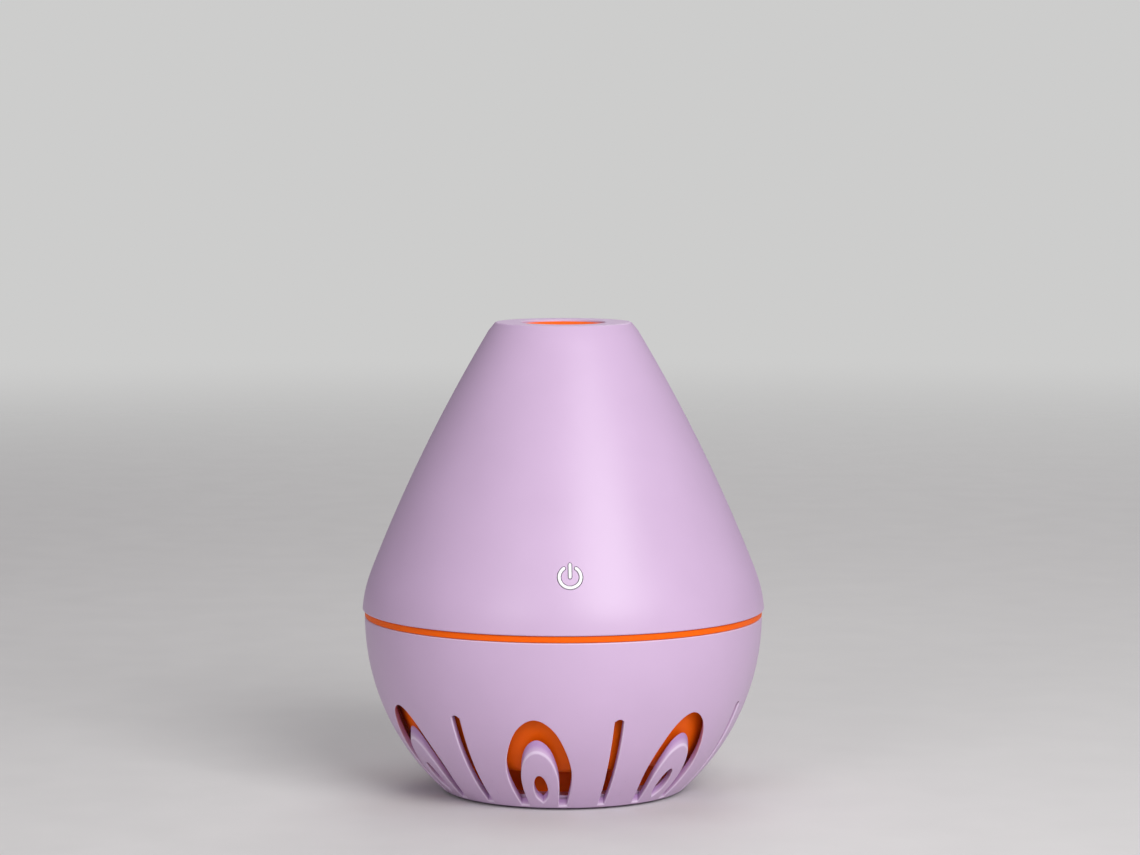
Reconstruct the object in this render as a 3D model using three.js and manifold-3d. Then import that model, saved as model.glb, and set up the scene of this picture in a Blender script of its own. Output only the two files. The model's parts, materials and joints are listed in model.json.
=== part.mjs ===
// Cool mist humidifier: a drop-shaped desk humidifier in two halves, in millimetres, +Z up.
//
// The lower half is a pierced bowl that carries a water cup. The cup's flange shows between the
// halves as a thin coloured band. The upper half is a hollow head that lifts off the cup: it holds
// the control board, the power button and a mist disc under the outlet, and a wick in a slim tube
// reaches from the disc down into the water. The front, where the button is, faces -Y.

import * as THREE from "three";
import { mergeVertices } from "three/addons/utils/BufferGeometryUtils.js";
import Module from "manifold-3d";

const wasm = await Module();
wasm.setup();

// ---------- driving dimensions ----------

const HEIGHT = 128.5; // table to top face
const RIM_RADIUS = 55; // widest radius, at the head's lower rim
const RIM_Z = 50; // underside of the head's rim
const RIM_OVERHANG = 0.6; // how far the rim stands out past the band
const RIM_SOFTENING = 0.4; // chamfer along the rim's lower edge

const SHOULDER_HEIGHT = 15.7; // rim to the end of the rounded shoulder
const SHOULDER_DROP = 4.45; // radius lost over the shoulder
const SHOULDER_HANDLE = 6; // how long the curve keeps its direction at each end
const RIM_LEAN = 3.4; // degrees that the rim leans in from vertical
const CROWN_BULGE = 1.4; // how far the long crown swells past a straight cone
const TOP_RADIUS = 19; // edge of the flat top
const TOP_SOFTENING = 0.7; // rounding along that edge
const HEAD_WALL = 2.2;
const OUTLET_RADIUS = 11.3; // round opening in the top

const FOOT_RADIUS = 33.2; // radius of the bowl where it meets its base
const FOOT_RISE = 0.6; // pads hold the bowl this far off the table
const BOWL_WALL = 1.7;
const LEDGE_THICKNESS = 1.8; // inner floor ring of the bowl
const LEDGE_RADIUS = 22; // hole in that ring
const BASE_SOFTENING = 0.6; // rounding along the bowl's bottom edge
const RECESS_STEP = 0.5; // how much the bowl's wall widens round the base plate

const BAND_HEIGHT = 1.7; // visible edge of the cup's flange
const CUP_GAP = 1.7; // free space between bowl and cup
const CUP_WALL = 1.8;
const CUP_FLOOR_Z = 11; // underside of the cup's floor
const CUP_FOOT_RADIUS = 28.5; // ring that the cup stands on
const CUP_FOOT_WIDTH = 2.5;
const CUP_COLLAR_DEPTH = 1.9; // thick part under the flange
const SEAL_DEPTH = 1.4; // rebate for the seal in the cup's rim
const SEAL_WIDTH = 2.6;

const PLUG_DEPTH = 4.5; // how deep the head's floor sits in the cup
const FLOOR_THICKNESS = 1.8;
const SKIRT_WALL = 1.7;
const SLEEVE_WALL = 1.4;
const PILLAR_RADIUS = 3;
const PILLAR_INSET = 6; // from the plug's side to the pillar's centre
const PILLAR_ANGLES = [30, 150, 270];

const WICK_RADIUS = 4;
const WICK_CLEARANCE = 0.6; // in its tube
const WICK_TIP_CLEARANCE = 0.5; // in the ceramic ring
const WICK_TUBE_WALL = 1.4;
const WICK_END_GAP = 1.2; // from the wick cap to the cup's floor
const WICK_CAP_WALL = 1.4;
const WICK_CAP_HEIGHT = 7;
const SPRING_WIRE = 0.35;
const SPRING_HEIGHT = 6;
const SPRING_TURNS = 5;
const LUG_HEIGHT = 1.8; // bayonet lugs of the wick tube
const LUG_REACH = 1.6;
const LUG_ANGLE = 28; // degrees of arc
const LUG_RELEASE_ANGLE = 45; // turn that brings the lugs to their notches
const COLLAR_REACH = 3.2; // grip collar of the wick tube, past the tube
const COLLAR_HEIGHT = 3.2;

const DISC_RADIUS = 8; // metal mist disc
const DISC_THICKNESS = 0.3;
const PIEZO_WIDTH = 3.2; // ceramic ring on the disc
const PIEZO_THICKNESS = 0.6;
const PIEZO_MARGIN = 0.3; // from the disc's edge to the ceramic
const DISC_SEAL_HEIGHT = 3.4;
const DISC_SEAL_REACH = 2.1; // seal past the disc's edge
const NOZZLE_RECESS = 0.5; // nozzle rim below the flat top
const NOZZLE_HOLE_RADIUS = 4;
const NOZZLE_DISH = 2.6; // depth of the dish
const NOZZLE_FLANGE = 2.4; // flange under the opening's edge
const NOZZLE_RIM = 0.8;

const BOARD_THICKNESS = 1.6;
const BOARD_HOLE_RADIUS = 11;
const BOARD_TONGUE_WIDTH = 14;
const STANDOFF_RADIUS = 2.6;
const STANDOFF_ANGLES = [90, 210, 330];
const NIGHT_LIGHT_ANGLES = [30, 150, 270];
const LENS_RADIUS = 4;
const LENS_FLANGE = 1;

const SOCKET_WIDTH = 8.94; // reversible power inlet
const SOCKET_HEIGHT = 3.26;
const SOCKET_DEPTH = 7;
const SOCKET_WALL = 0.3;
const PORT_WIDTH = 12.4; // cut-out for the plug's grip
const PORT_HEIGHT = 7;

const BUTTON_Z = 65; // height of the power symbol's centre
const SYMBOL_RADIUS = 2.85; // middle of the broken ring
const STROKE_WIDTH = 0.8;
const SYMBOL_GAP_ANGLE = 34; // half of the ring's gap at the top
const BAR_TOP = 3.8;
const BAR_BOTTOM = -0.4;
const STROKE_PROUD = 0.15; // strokes stand this far out of the head
const STROKE_CLEARANCE = 0.15;
const BUTTON_PLATE_RADIUS = 5.2;
const BUTTON_PLATE_THICKNESS = 1.2;
const BUTTON_TRAVEL = 0.5;
const STEM_RADIUS = 1.5; // pushes the switch
const STEM_LENGTH = 0.9;
const PLUNGER_STANDOFF = 1.4; // plunger out of the switch
const PLATE_CLEARANCE = 0.6; // from the button plate to the curved wall
const SWITCH_BOSS_RADIUS = 2.3;
const SWITCH_PILOT_RADIUS = 1;
const PILLAR_PILOT_RADIUS = 1.25;
const SWITCH_SIZE = 6;
const SWITCH_HEIGHT = 3.4;
const PLUNGER_RADIUS = 1.7;
const SWITCH_BOARD_WIDTH = 22;
const SWITCH_BOARD_HEIGHT = 13;
const SWITCH_BOSS_OFFSET = 8.4;

const PETAL_COUNT = 7;
const PETAL_START_ANGLE = -10.7; // first petal, from the front towards +X
// Outlines of the openings on the bowl's skin, as [degrees from the middle, height]. Each runs up
// one side from its foot to its tip, and the other side mirrors it.
const ARCH_SIDE = [[10.2, 1.2], [12, 8], [11.1, 14], [8.35, 20], [5.2, 24.5], [0, 27]];
const PETAL_SIDE = [[6.7, 1.2], [7.2, 7.5], [6.2, 12], [3.9, 16], [0, 17.8]];
const EYELET_SIDE = [[0, 2.2], [2.2, 3.9], [2.7, 6.6], [1.7, 9.5], [0, 10.7]];
const SLOT_SIDE = [[1.4, 1.4], [1.5, 14], [1.45, 24.9], [1.05, 26.3], [0, 26.8]];

const BASE_PLATE_THICKNESS = 1.5;
const BASE_SCREW_ANGLES = [0, 120, 240];
const BASE_SCREW_RADIUS = 15; // from the axis
const PAD_COUNT = 4;
const PAD_RADIUS = 4.5;
const PAD_THICKNESS = 0.9;
const PAD_INSET = 2.2; // from the base plate's edge to the pad's edge

const SEAT_GAP = 0.1; // between faces that rest on each other
const FIT = 0.3; // radial room between pieces that fit in each other
const PLUG_FIT = 0.4;

const SHELL_SEGMENTS = 42; // a multiple of the petals
const SMALL_SEGMENTS = 16;
const TINY_SEGMENTS = 8;

// ---------- finishes ----------

const finish = (color, roughness, metalness = 0) =>
  new THREE.MeshStandardMaterial({ color, roughness, metalness });
const LILAC = finish(0xd2b8dc, 0.42);
const ORANGE = finish(0xf06a10, 0.4);
const MILKY = finish(0xf2f0ec, 0.45);
const SYMBOL_WHITE = finish(0xffffff, 0.35);
const SILICONE = finish(0xe6e2dc, 0.7);
const COTTON = finish(0xf6f3ea, 0.95);
const STEEL = finish(0xb9bcc0, 0.3, 1);
const CERAMIC = finish(0xe8e2d2, 0.5);
const BOARD_GREEN = finish(0x1f6b3f, 0.5);
const BLACK = finish(0x1c1c1f, 0.5);
const FERRITE = finish(0x3a3a3e, 0.7);
const LED_WHITE = finish(0xfaf6d8, 0.3);
const WIRE_RED = finish(0xb8231c, 0.5);
const WIRE_BLACK = finish(0x202022, 0.5);

// ---------- tools ----------

const rad = THREE.MathUtils.degToRad;
const humidifier = new THREE.Group();

// A closed geometry as a manifold solid, moved by a matrix if one is given.
function solid(geometry, matrix) {
  let g = geometry.index ? geometry.toNonIndexed() : geometry.clone();
  if (matrix) g.applyMatrix4(matrix);
  g.deleteAttribute("normal");
  g.deleteAttribute("uv");
  g = mergeVertices(g, 1e-4);
  return new wasm.Manifold(
    new wasm.Mesh({
      numProp: 3,
      vertProperties: new Float32Array(g.attributes.position.array),
      triVerts: new Uint32Array(g.index.array),
    }),
  );
}

function geometryOf(body) {
  const m = body.getMesh();
  const g = new THREE.BufferGeometry();
  g.setAttribute("position", new THREE.BufferAttribute(new Float32Array(m.vertProperties), 3));
  g.setIndex(new THREE.BufferAttribute(new Uint32Array(m.triVerts), 1));
  g.computeVertexNormals();
  return g;
}

function place(name, shape, material, parent = humidifier) {
  const geometry = shape.isBufferGeometry ? shape : geometryOf(shape);
  const mesh = new THREE.Mesh(geometry, material);
  mesh.name = name;
  parent.add(mesh);
  return mesh;
}

// A closed outline of [radius, height] pairs, turned about Z. It runs up its outer side.
function turned(outline, segments = SMALL_SEGMENTS) {
  const points = outline.map(([r, z]) => new THREE.Vector2(Math.max(r, 0), z));
  points.push(points[0].clone());
  return new THREE.LatheGeometry(points, segments).rotateX(Math.PI / 2);
}

const ring = (inner, outer, low, high, segments) =>
  turned([[inner, low], [outer, low], [outer, high], [inner, high]], segments);

// A round bar along Z from low to high.
function bar(radius, low, high, segments = SMALL_SEGMENTS) {
  return new THREE.CylinderGeometry(radius, radius, high - low, segments)
    .rotateX(Math.PI / 2)
    .translate(0, 0, (low + high) / 2);
}

function block(width, depth, low, high) {
  return new THREE.BoxGeometry(width, depth, high - low).translate(0, 0, (low + high) / 2);
}

// A flat outline extruded along Z from low to high.
function slab(points, low, high) {
  const options = { depth: high - low, bevelEnabled: false, steps: 1 };
  return new THREE.ExtrudeGeometry(new THREE.Shape(points), options).translate(0, 0, low);
}

function roundedBox(width, height, radius, steps = 4) {
  const points = [];
  for (const [sx, sy, start] of [[1, -1, -90], [1, 1, 0], [-1, 1, 90], [-1, -1, 180]]) {
    for (let i = 0; i <= steps; i++) {
      const a = rad(start + (90 * i) / steps);
      const x = sx * (width / 2 - radius) + radius * Math.cos(a);
      const y = sy * (height / 2 - radius) + radius * Math.sin(a);
      points.push(new THREE.Vector2(x, y));
    }
  }
  return points;
}

// Places on circles round the axis: angle 0 is the front (-Y), and angles grow towards +X.
function around(angle, radius = 0, z = 0) {
  const turn = new THREE.Matrix4().makeRotationZ(rad(angle));
  return turn.multiply(new THREE.Matrix4().makeTranslation(0, -radius, z));
}

function wire(points, radius, steps) {
  const path = new THREE.CatmullRomCurve3(points.map((p) => new THREE.Vector3(...p)));
  return tube(path, radius, steps, 5);
}

function tube(path, radius, steps, sides) {
  const section = [];
  for (let i = 0; i < sides; i++) {
    const a = (2 * Math.PI * i) / sides;
    section.push(new THREE.Vector2(radius * Math.cos(a), radius * Math.sin(a)));
  }
  const options = { extrudePath: path, steps, bevelEnabled: false };
  return new THREE.ExtrudeGeometry(new THREE.Shape(section), options);
}

// A pan-head screw with its head's seat at z = 0, pointing up, and a cross recess below.
function screw(headRadius, headHeight, shaftRadius, length) {
  const body = solid(
    turned(
      [
        [0, -headHeight],
        [headRadius * 0.75, -headHeight],
        [headRadius, -headHeight * 0.55],
        [headRadius, 0],
        [shaftRadius, 0],
        [shaftRadius, length - shaftRadius],
        [0, length],
      ],
      TINY_SEGMENTS,
    ),
  );
  const width = headRadius * 0.22;
  const arm = block(headRadius * 1.1, width, -headHeight - 1, -headHeight * 0.5);
  const across = block(width, headRadius * 1.1, -headHeight - 1, -headHeight * 0.5);
  return body.subtract(solid(arm)).subtract(solid(across));
}

// ---------- levels and radii that the pieces share ----------

const cupTop = RIM_Z - SEAT_GAP;
const bandBottom = cupTop - BAND_HEIGHT;
const bandRadius = RIM_RADIUS - RIM_OVERHANG;
const bowlTop = bandBottom - SEAT_GAP;
const basePlateTop = FOOT_RISE + BASE_PLATE_THICKNESS;
const ledgeBottom = basePlateTop + FIT;
const ledgeTop = ledgeBottom + LEDGE_THICKNESS;
const cupFloorTop = CUP_FLOOR_Z + CUP_WALL;

// The bowl's side is one arc, upright at its top.
const bowlHeight = bowlTop - FOOT_RISE;
const bowlDepth = bandRadius - FOOT_RADIUS;
const bowlArc = (bowlHeight ** 2 + bowlDepth ** 2) / (2 * bowlDepth);
const bowlCentre = bandRadius - bowlArc;
const bowlRadius = (z, inset = 0) =>
  bowlCentre + Math.sqrt((bowlArc - inset) ** 2 - (bowlTop - z) ** 2);
const baseRecess = FOOT_RADIUS - BOWL_WALL - RECESS_STEP; // the base plate sits in this

const cupInset = BOWL_WALL + CUP_GAP;
const mouthRadius = bowlRadius(bowlTop, cupInset + CUP_WALL);
const plugRadius = mouthRadius - PLUG_FIT;
const plugBottom = RIM_Z - PLUG_DEPTH;
const floorTop = plugBottom + FLOOR_THICKNESS;
const flangeTop = RIM_Z + FLOOR_THICKNESS;

const tubeInner = WICK_RADIUS + WICK_CLEARANCE;
const tubeOuter = tubeInner + WICK_TUBE_WALL;
const sleeveInner = tubeOuter + FIT;
const sleeveOuter = sleeveInner + SLEEVE_WALL;

const topUnderside = HEIGHT - HEAD_WALL;
const nozzleTop = HEIGHT - NOZZLE_RECESS;
const nozzleFlangeTop = topUnderside - SEAT_GAP;
const nozzleBottom = nozzleTop - NOZZLE_DISH - NOZZLE_FLANGE;
const discSealTop = nozzleBottom - SEAT_GAP;
const discSealBottom = discSealTop - DISC_SEAL_HEIGHT;
const discSealOuter = DISC_RADIUS + DISC_SEAL_REACH;
const piezoOuter = DISC_RADIUS - PIEZO_MARGIN;
const piezoInner = piezoOuter - PIEZO_WIDTH;
const wickTipRadius = piezoInner - WICK_TIP_CLEARANCE;
const seatFloor = discSealBottom - SEAT_GAP;
const discBottom = (discSealTop + discSealBottom) / 2 + PIEZO_THICKNESS / 2;

const pillarCentre = plugRadius - PILLAR_INSET;
const boardRadius = pillarCentre - PILLAR_RADIUS - 2;
const boardBottom = flangeTop + 0.4;
const boardTop = boardBottom + BOARD_THICKNESS;
const standoffCentre = boardRadius - 6;
const nightLightCentre = boardRadius - 11;

// ---------- the head's outer surface ----------

const rimPoint = new THREE.Vector2(RIM_RADIUS, RIM_Z);
const shoulderEnd = new THREE.Vector2(RIM_RADIUS - SHOULDER_DROP, RIM_Z + SHOULDER_HEIGHT);
const topEdge = new THREE.Vector2(TOP_RADIUS, HEIGHT);
const chord = topEdge.clone().sub(shoulderEnd);
const outward = new THREE.Vector2(chord.y, -chord.x).normalize();
const crownHandle = shoulderEnd.clone().lerp(topEdge, 0.5).addScaledVector(outward, 2 * CROWN_BULGE);
const crown = new THREE.QuadraticBezierCurve(shoulderEnd, crownHandle, topEdge);
const crownStart = crown.getTangent(0);
const shoulder = new THREE.CubicBezierCurve(
  rimPoint,
  new THREE.Vector2(
    RIM_RADIUS - SHOULDER_HANDLE * Math.sin(rad(RIM_LEAN)),
    RIM_Z + SHOULDER_HANDLE * Math.cos(rad(RIM_LEAN)),
  ),
  shoulderEnd.clone().addScaledVector(crownStart, -SHOULDER_HANDLE),
  shoulderEnd,
);

// The point of a curve at t, moved in from the surface by inset.
function skinPoint(curve, t, inset) {
  const p = curve.getPoint(t);
  const along = curve.getTangent(t);
  return [p.x - along.y * inset, p.y + along.x * inset];
}

// Points from the rim to the top edge, moved in from the surface by inset.
function headSkin(inset, shoulderSteps, crownSteps) {
  const points = [];
  for (let i = 0; i < shoulderSteps; i++) {
    points.push(skinPoint(shoulder, i / shoulderSteps, inset));
  }
  for (let i = 0; i <= crownSteps; i++) {
    points.push(skinPoint(crown, i / crownSteps, inset));
  }
  return points;
}

// The radius of that surface at height z, and its lean in from vertical, found by halving.
function headAt(z, inset = 0) {
  const curve = z < shoulderEnd.y ? shoulder : crown;
  let low = 0;
  let high = 1;
  for (let i = 0; i < 40; i++) {
    const middle = (low + high) / 2;
    if (skinPoint(curve, middle, inset)[1] < z) low = middle;
    else high = middle;
  }
  const along = curve.getTangent(low);
  return { radius: skinPoint(curve, low, inset)[0], lean: Math.atan2(-along.x, along.y) };
}

// The whole inside of the head up to inset below its surface, to trim posts that grow from the wall.
function headCore(inset) {
  const skin = headSkin(inset, 4, 6).filter(([, z]) => z < HEIGHT - inset);
  return solid(turned([[0, RIM_Z - PLUG_DEPTH * 2], [RIM_RADIUS, RIM_Z - PLUG_DEPTH * 2],
    [RIM_RADIUS, RIM_Z], ...skin, [0, HEIGHT - inset]], SHELL_SEGMENTS));
}

// ---------- the button's place on the head ----------

const buttonSpot = headAt(BUTTON_Z);
const buttonGroup = new THREE.Group();
buttonGroup.position.set(0, -buttonSpot.radius, BUTTON_Z);
buttonGroup.rotation.x = Math.PI / 2 - buttonSpot.lean;
buttonGroup.updateMatrix();
humidifier.add(buttonGroup);

// The broken ring of the power symbol, with round ends, in the button's plane.
function ringStroke(halfWidth, steps = 14) {
  const start = rad(90 + SYMBOL_GAP_ANGLE);
  const sweep = rad(360 - 2 * SYMBOL_GAP_ANGLE);
  const point = (r, a) => new THREE.Vector2(r * Math.cos(a), r * Math.sin(a));
  const outer = [];
  const inner = [];
  for (let i = 0; i <= steps; i++) {
    const a = start + (sweep * i) / steps;
    outer.push(point(SYMBOL_RADIUS + halfWidth, a));
    inner.unshift(point(SYMBOL_RADIUS - halfWidth, a));
  }
  const cap = (a, from) => {
    const middle = point(SYMBOL_RADIUS, a);
    return [1, 2, 3].map((k) => point(halfWidth, from + (k * Math.PI) / 4).add(middle));
  };
  return [...outer, ...cap(start + sweep, start + sweep), ...inner, ...cap(start, start + Math.PI)];
}

function barStroke(halfWidth) {
  const length = BAR_TOP - BAR_BOTTOM + 2 * halfWidth - STROKE_WIDTH;
  return roundedBox(2 * halfWidth, length, halfWidth * 0.98, 3).map((p) =>
    p.add(new THREE.Vector2(0, (BAR_TOP + BAR_BOTTOM) / 2)),
  );
}

function symbol(halfWidth, low, high, matrix) {
  return solid(slab(ringStroke(halfWidth), low, high), matrix).add(
    solid(slab(barStroke(halfWidth), low, high), matrix),
  );
}

const plateFront = -HEAD_WALL - PLATE_CLEARANCE;
const plateBack = plateFront - BUTTON_PLATE_THICKNESS;
const stemBack = plateBack - STEM_LENGTH;
const plungerFront = stemBack - SEAT_GAP;
const switchFront = plungerFront - PLUNGER_STANDOFF;
const switchBack = switchFront - SWITCH_HEIGHT;
const switchBoardFront = switchBack - SEAT_GAP;
const switchBoardBack = switchBoardFront - BOARD_THICKNESS;

// ---------- upper half: shell ----------

function upperShell() {
  const outer = headSkin(0, 4, 6);
  const inner = headSkin(HEAD_WALL, 3, 4).filter(([, z]) => z > RIM_Z && z < topUnderside);
  const insideTop = headAt(topUnderside, HEAD_WALL).radius;
  const edge = new THREE.QuadraticBezierCurve(
    topEdge.clone().addScaledVector(crown.getTangent(1), -TOP_SOFTENING),
    topEdge,
    new THREE.Vector2(TOP_RADIUS - TOP_SOFTENING, HEIGHT),
  );
  const softened = [0, 0.5, 1].map((t) => edge.getPoint(t).toArray());
  const outline = [
    [RIM_RADIUS - RIM_SOFTENING, RIM_Z],
    [RIM_RADIUS, RIM_Z + RIM_SOFTENING],
    ...outer.slice(1, -1),
    ...softened,
    [OUTLET_RADIUS, HEIGHT],
    [OUTLET_RADIUS, topUnderside],
    [insideTop, topUnderside],
    ...inner.reverse(),
    [RIM_RADIUS - HEAD_WALL, RIM_Z],
  ];
  let shell = solid(turned(outline, SHELL_SEGMENTS));
  const core = headCore(HEAD_WALL / 2);

  for (const angle of PILLAR_ANGLES) {
    const at = around(angle, pillarCentre);
    const pillar = solid(bar(PILLAR_RADIUS, floorTop + SEAT_GAP, HEIGHT, TINY_SEGMENTS), at);
    shell = shell.add(pillar.intersect(core));
    shell = shell.subtract(solid(bar(PILLAR_PILOT_RADIUS, floorTop - 1, floorTop + 9, TINY_SEGMENTS), at));
  }
  for (const side of [-1, 1]) {
    const at = buttonGroup.matrix
      .clone()
      .multiply(new THREE.Matrix4().makeTranslation(side * SWITCH_BOSS_OFFSET, 0, 0));
    const boss = solid(bar(SWITCH_BOSS_RADIUS, switchBoardFront + SEAT_GAP, 0, TINY_SEGMENTS), at);
    shell = shell.add(boss.intersect(core));
    const pilot = bar(SWITCH_PILOT_RADIUS, switchBoardFront - 1, switchBoardFront + 4.6, 10);
    shell = shell.subtract(solid(pilot, at));
  }
  const halfSlot = STROKE_WIDTH / 2 + STROKE_CLEARANCE;
  shell = shell.subtract(symbol(halfSlot, -HEAD_WALL - 1.2, 1, buttonGroup.matrix));

  const socketZ = boardTop + SEAT_GAP + SOCKET_HEIGHT / 2;
  const port = slab(roundedBox(PORT_WIDTH, PORT_HEIGHT, 2.4), RIM_RADIUS / 2, RIM_RADIUS + 5);
  port.rotateX(-Math.PI / 2).translate(0, 0, socketZ);
  return shell.subtract(solid(port));
}

place("upper_shell", upperShell(), LILAC);

// ---------- upper half: outlet and mist disc ----------

const nozzleRimRadius = OUTLET_RADIUS - FIT;
place(
  "mist_nozzle",
  turned(
    [
      [NOZZLE_HOLE_RADIUS, nozzleBottom],
      [discSealOuter - 0.4, nozzleBottom],
      [discSealOuter - 0.4, nozzleFlangeTop - NOZZLE_FLANGE * 0.8],
      [OUTLET_RADIUS + NOZZLE_FLANGE, nozzleFlangeTop - NOZZLE_FLANGE * 0.8],
      [OUTLET_RADIUS + NOZZLE_FLANGE, nozzleFlangeTop],
      [nozzleRimRadius, nozzleFlangeTop],
      [nozzleRimRadius, nozzleTop],
      [nozzleRimRadius - NOZZLE_RIM, nozzleTop],
      [NOZZLE_HOLE_RADIUS + 1.2, nozzleTop - NOZZLE_DISH],
      [NOZZLE_HOLE_RADIUS + 0.3, nozzleTop - NOZZLE_DISH - 0.1],
      [NOZZLE_HOLE_RADIUS, nozzleTop - NOZZLE_DISH - 0.5],
    ],
    28,
  ),
  ORANGE,
);

const grooveRadius = DISC_RADIUS + 0.2;
const grooveLow = discBottom - PIEZO_THICKNESS - 2 * SEAT_GAP;
const grooveHigh = discBottom + DISC_THICKNESS + SEAT_GAP;
const leadNotch = around(100).multiply(
  new THREE.Matrix4().makeTranslation(0, -discSealOuter, (grooveLow + grooveHigh) / 2),
);
const leadNotchSolid = () => solid(new THREE.BoxGeometry(3.6, 6.4, 1.5), leadNotch);

place(
  "atomizer_seal",
  solid(
    turned(
      [
        [DISC_RADIUS - 2.2, discSealBottom],
        [discSealOuter, discSealBottom],
        [discSealOuter, discSealTop],
        [DISC_RADIUS - 2.2, discSealTop],
        [DISC_RADIUS - 2.2, grooveHigh],
        [grooveRadius, grooveHigh],
        [grooveRadius, grooveLow],
        [DISC_RADIUS - 2.2, grooveLow],
      ],
      SMALL_SEGMENTS,
    ),
  ).subtract(leadNotchSolid()),
  SILICONE,
);
place("atomizer_disc", bar(DISC_RADIUS, discBottom, discBottom + DISC_THICKNESS), STEEL);
place(
  "piezo_ring",
  ring(
    piezoInner,
    piezoOuter,
    discBottom - SEAT_GAP - PIEZO_THICKNESS,
    discBottom - SEAT_GAP,
    SMALL_SEGMENTS,
  ),
  CERAMIC,
);

// ---------- upper half: floor and wick sleeve ----------

const lugOuter = tubeOuter + COLLAR_REACH + LUG_REACH;
const lipInner = tubeOuter + COLLAR_REACH + FIT;
const pocketRadius = lugOuter + FIT;
const socketOuter = pocketRadius + 1.4;
const lugTop = plugBottom - FIT;
const lugBottom = lugTop - LUG_HEIGHT;
const lipTop = lugBottom - FIT;
const lipBottom = lipTop - 1.4;

// A wedge of a ring, centred on an angle, to cut a notch or leave a lug.
function wedge(inner, outer, low, high, angle, width) {
  const points = [];
  const steps = 4;
  for (let i = 0; i <= steps; i++) {
    const a = rad(angle - 90 - width / 2 + (width * i) / steps);
    points.push(new THREE.Vector2(outer * Math.cos(a), outer * Math.sin(a)));
  }
  for (let i = steps; i >= 0; i--) {
    const a = rad(angle - 90 - width / 2 + (width * i) / steps);
    points.push(new THREE.Vector2(inner * Math.cos(a), inner * Math.sin(a)));
  }
  return solid(slab(points, low, high));
}

// The floor is a pan with a skirt, screwed up into the head. It closes the cup from above.
function headFloor() {
  const flangeRadius = headAt(flangeTop, HEAD_WALL).radius - FIT;
  const sleeveHole = socketOuter + SEAT_GAP;
  let floor = solid(
    turned(
      [
        [sleeveHole, plugBottom],
        [plugRadius - 0.6, plugBottom],
        [plugRadius, plugBottom + 0.6],
        [plugRadius, RIM_Z],
        [flangeRadius, RIM_Z],
        [flangeRadius, flangeTop],
        [plugRadius - SKIRT_WALL, flangeTop],
        [plugRadius - SKIRT_WALL, floorTop],
        [sleeveHole, floorTop],
      ],
      SHELL_SEGMENTS,
    ),
  );
  for (const angle of STANDOFF_ANGLES) {
    const at = around(angle, standoffCentre);
    const post = bar(STANDOFF_RADIUS, floorTop - 0.5, boardBottom - SEAT_GAP, TINY_SEGMENTS);
    floor = floor.add(solid(post, at));
    floor = floor.subtract(solid(bar(1.1, floorTop + 0.3, boardBottom + 1, 10), at));
  }
  for (const angle of PILLAR_ANGLES) {
    const hole = bar(1.6, plugBottom - 1, floorTop + 1, TINY_SEGMENTS);
    floor = floor.subtract(solid(hole, around(angle, pillarCentre)));
  }
  for (const angle of NIGHT_LIGHT_ANGLES) {
    const hole = bar(LENS_RADIUS + FIT, plugBottom - 1, floorTop + 1, SMALL_SEGMENTS);
    floor = floor.subtract(solid(hole, around(angle, nightLightCentre)));
  }
  return floor;
}

place("head_floor", headFloor(), MILKY);

// The sleeve is pressed into the floor. It holds the wick's tube below and the mist disc above.
function wickSleeve() {
  const seatInner = discSealOuter + FIT;
  let sleeve = solid(
    turned(
      [
        [lipInner, lipBottom],
        [socketOuter, lipBottom],
        [socketOuter, floorTop],
        [sleeveOuter, floorTop],
        [sleeveOuter, seatFloor - SLEEVE_WALL - 3],
        [seatInner + SLEEVE_WALL, seatFloor - SLEEVE_WALL],
        [seatInner + SLEEVE_WALL, discSealTop - 0.4],
        [seatInner, discSealTop - 0.4],
        [seatInner, seatFloor],
        [sleeveInner, seatFloor],
        [sleeveInner, plugBottom],
        [pocketRadius, plugBottom],
        [pocketRadius, lipTop],
        [lipInner, lipTop],
      ],
      SMALL_SEGMENTS + 4,
    ),
  );
  for (const angle of [0, 180]) {
    const notch = angle + LUG_RELEASE_ANGLE;
    sleeve = sleeve.subtract(
      wedge(lipInner - 1, pocketRadius, lipBottom - 1, lipTop + 0.1, notch, LUG_ANGLE + 8),
    );
  }
  return sleeve.subtract(leadNotchSolid());
}

place("wick_sleeve", wickSleeve(), MILKY);

PILLAR_ANGLES.forEach((angle, i) => {
  const body = screw(2.4, 1.7, 1.05, 9);
  const mesh = place(`head_screw_${i + 1}`, body, STEEL);
  mesh.applyMatrix4(around(angle, pillarCentre, plugBottom - SEAT_GAP));
});

NIGHT_LIGHT_ANGLES.forEach((angle, i) => {
  const flange = LENS_RADIUS + LENS_FLANGE;
  const lens = turned([
    [0, plugBottom],
    [LENS_RADIUS, plugBottom],
    [LENS_RADIUS, floorTop + SEAT_GAP],
    [flange, floorTop + SEAT_GAP],
    [flange, floorTop + SEAT_GAP + 0.9],
    [0, floorTop + SEAT_GAP + 1.3],
  ]);
  place(`light_lens_${i + 1}`, lens, MILKY).applyMatrix4(around(angle, nightLightCentre));
  const led = solid(block(5, 5, boardBottom - SEAT_GAP - 1.4, boardBottom - SEAT_GAP)).subtract(
    solid(bar(1.9, boardBottom - 2.5, boardBottom - SEAT_GAP - 1, 16)),
  );
  place(`night_led_${i + 1}`, led, LED_WHITE).applyMatrix4(around(angle, nightLightCentre));
});

// ---------- upper half: wick and its tube ----------

const capBottom = cupFloorTop + WICK_END_GAP;
const capFloorTop = capBottom + WICK_CAP_WALL;
const tubeBottom = capFloorTop + SEAT_GAP;
const tubeTop = seatFloor - 2;
const springTop = tubeBottom + SPRING_HEIGHT;
const wickBottom = springTop + 2 * SPRING_WIRE;

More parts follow.
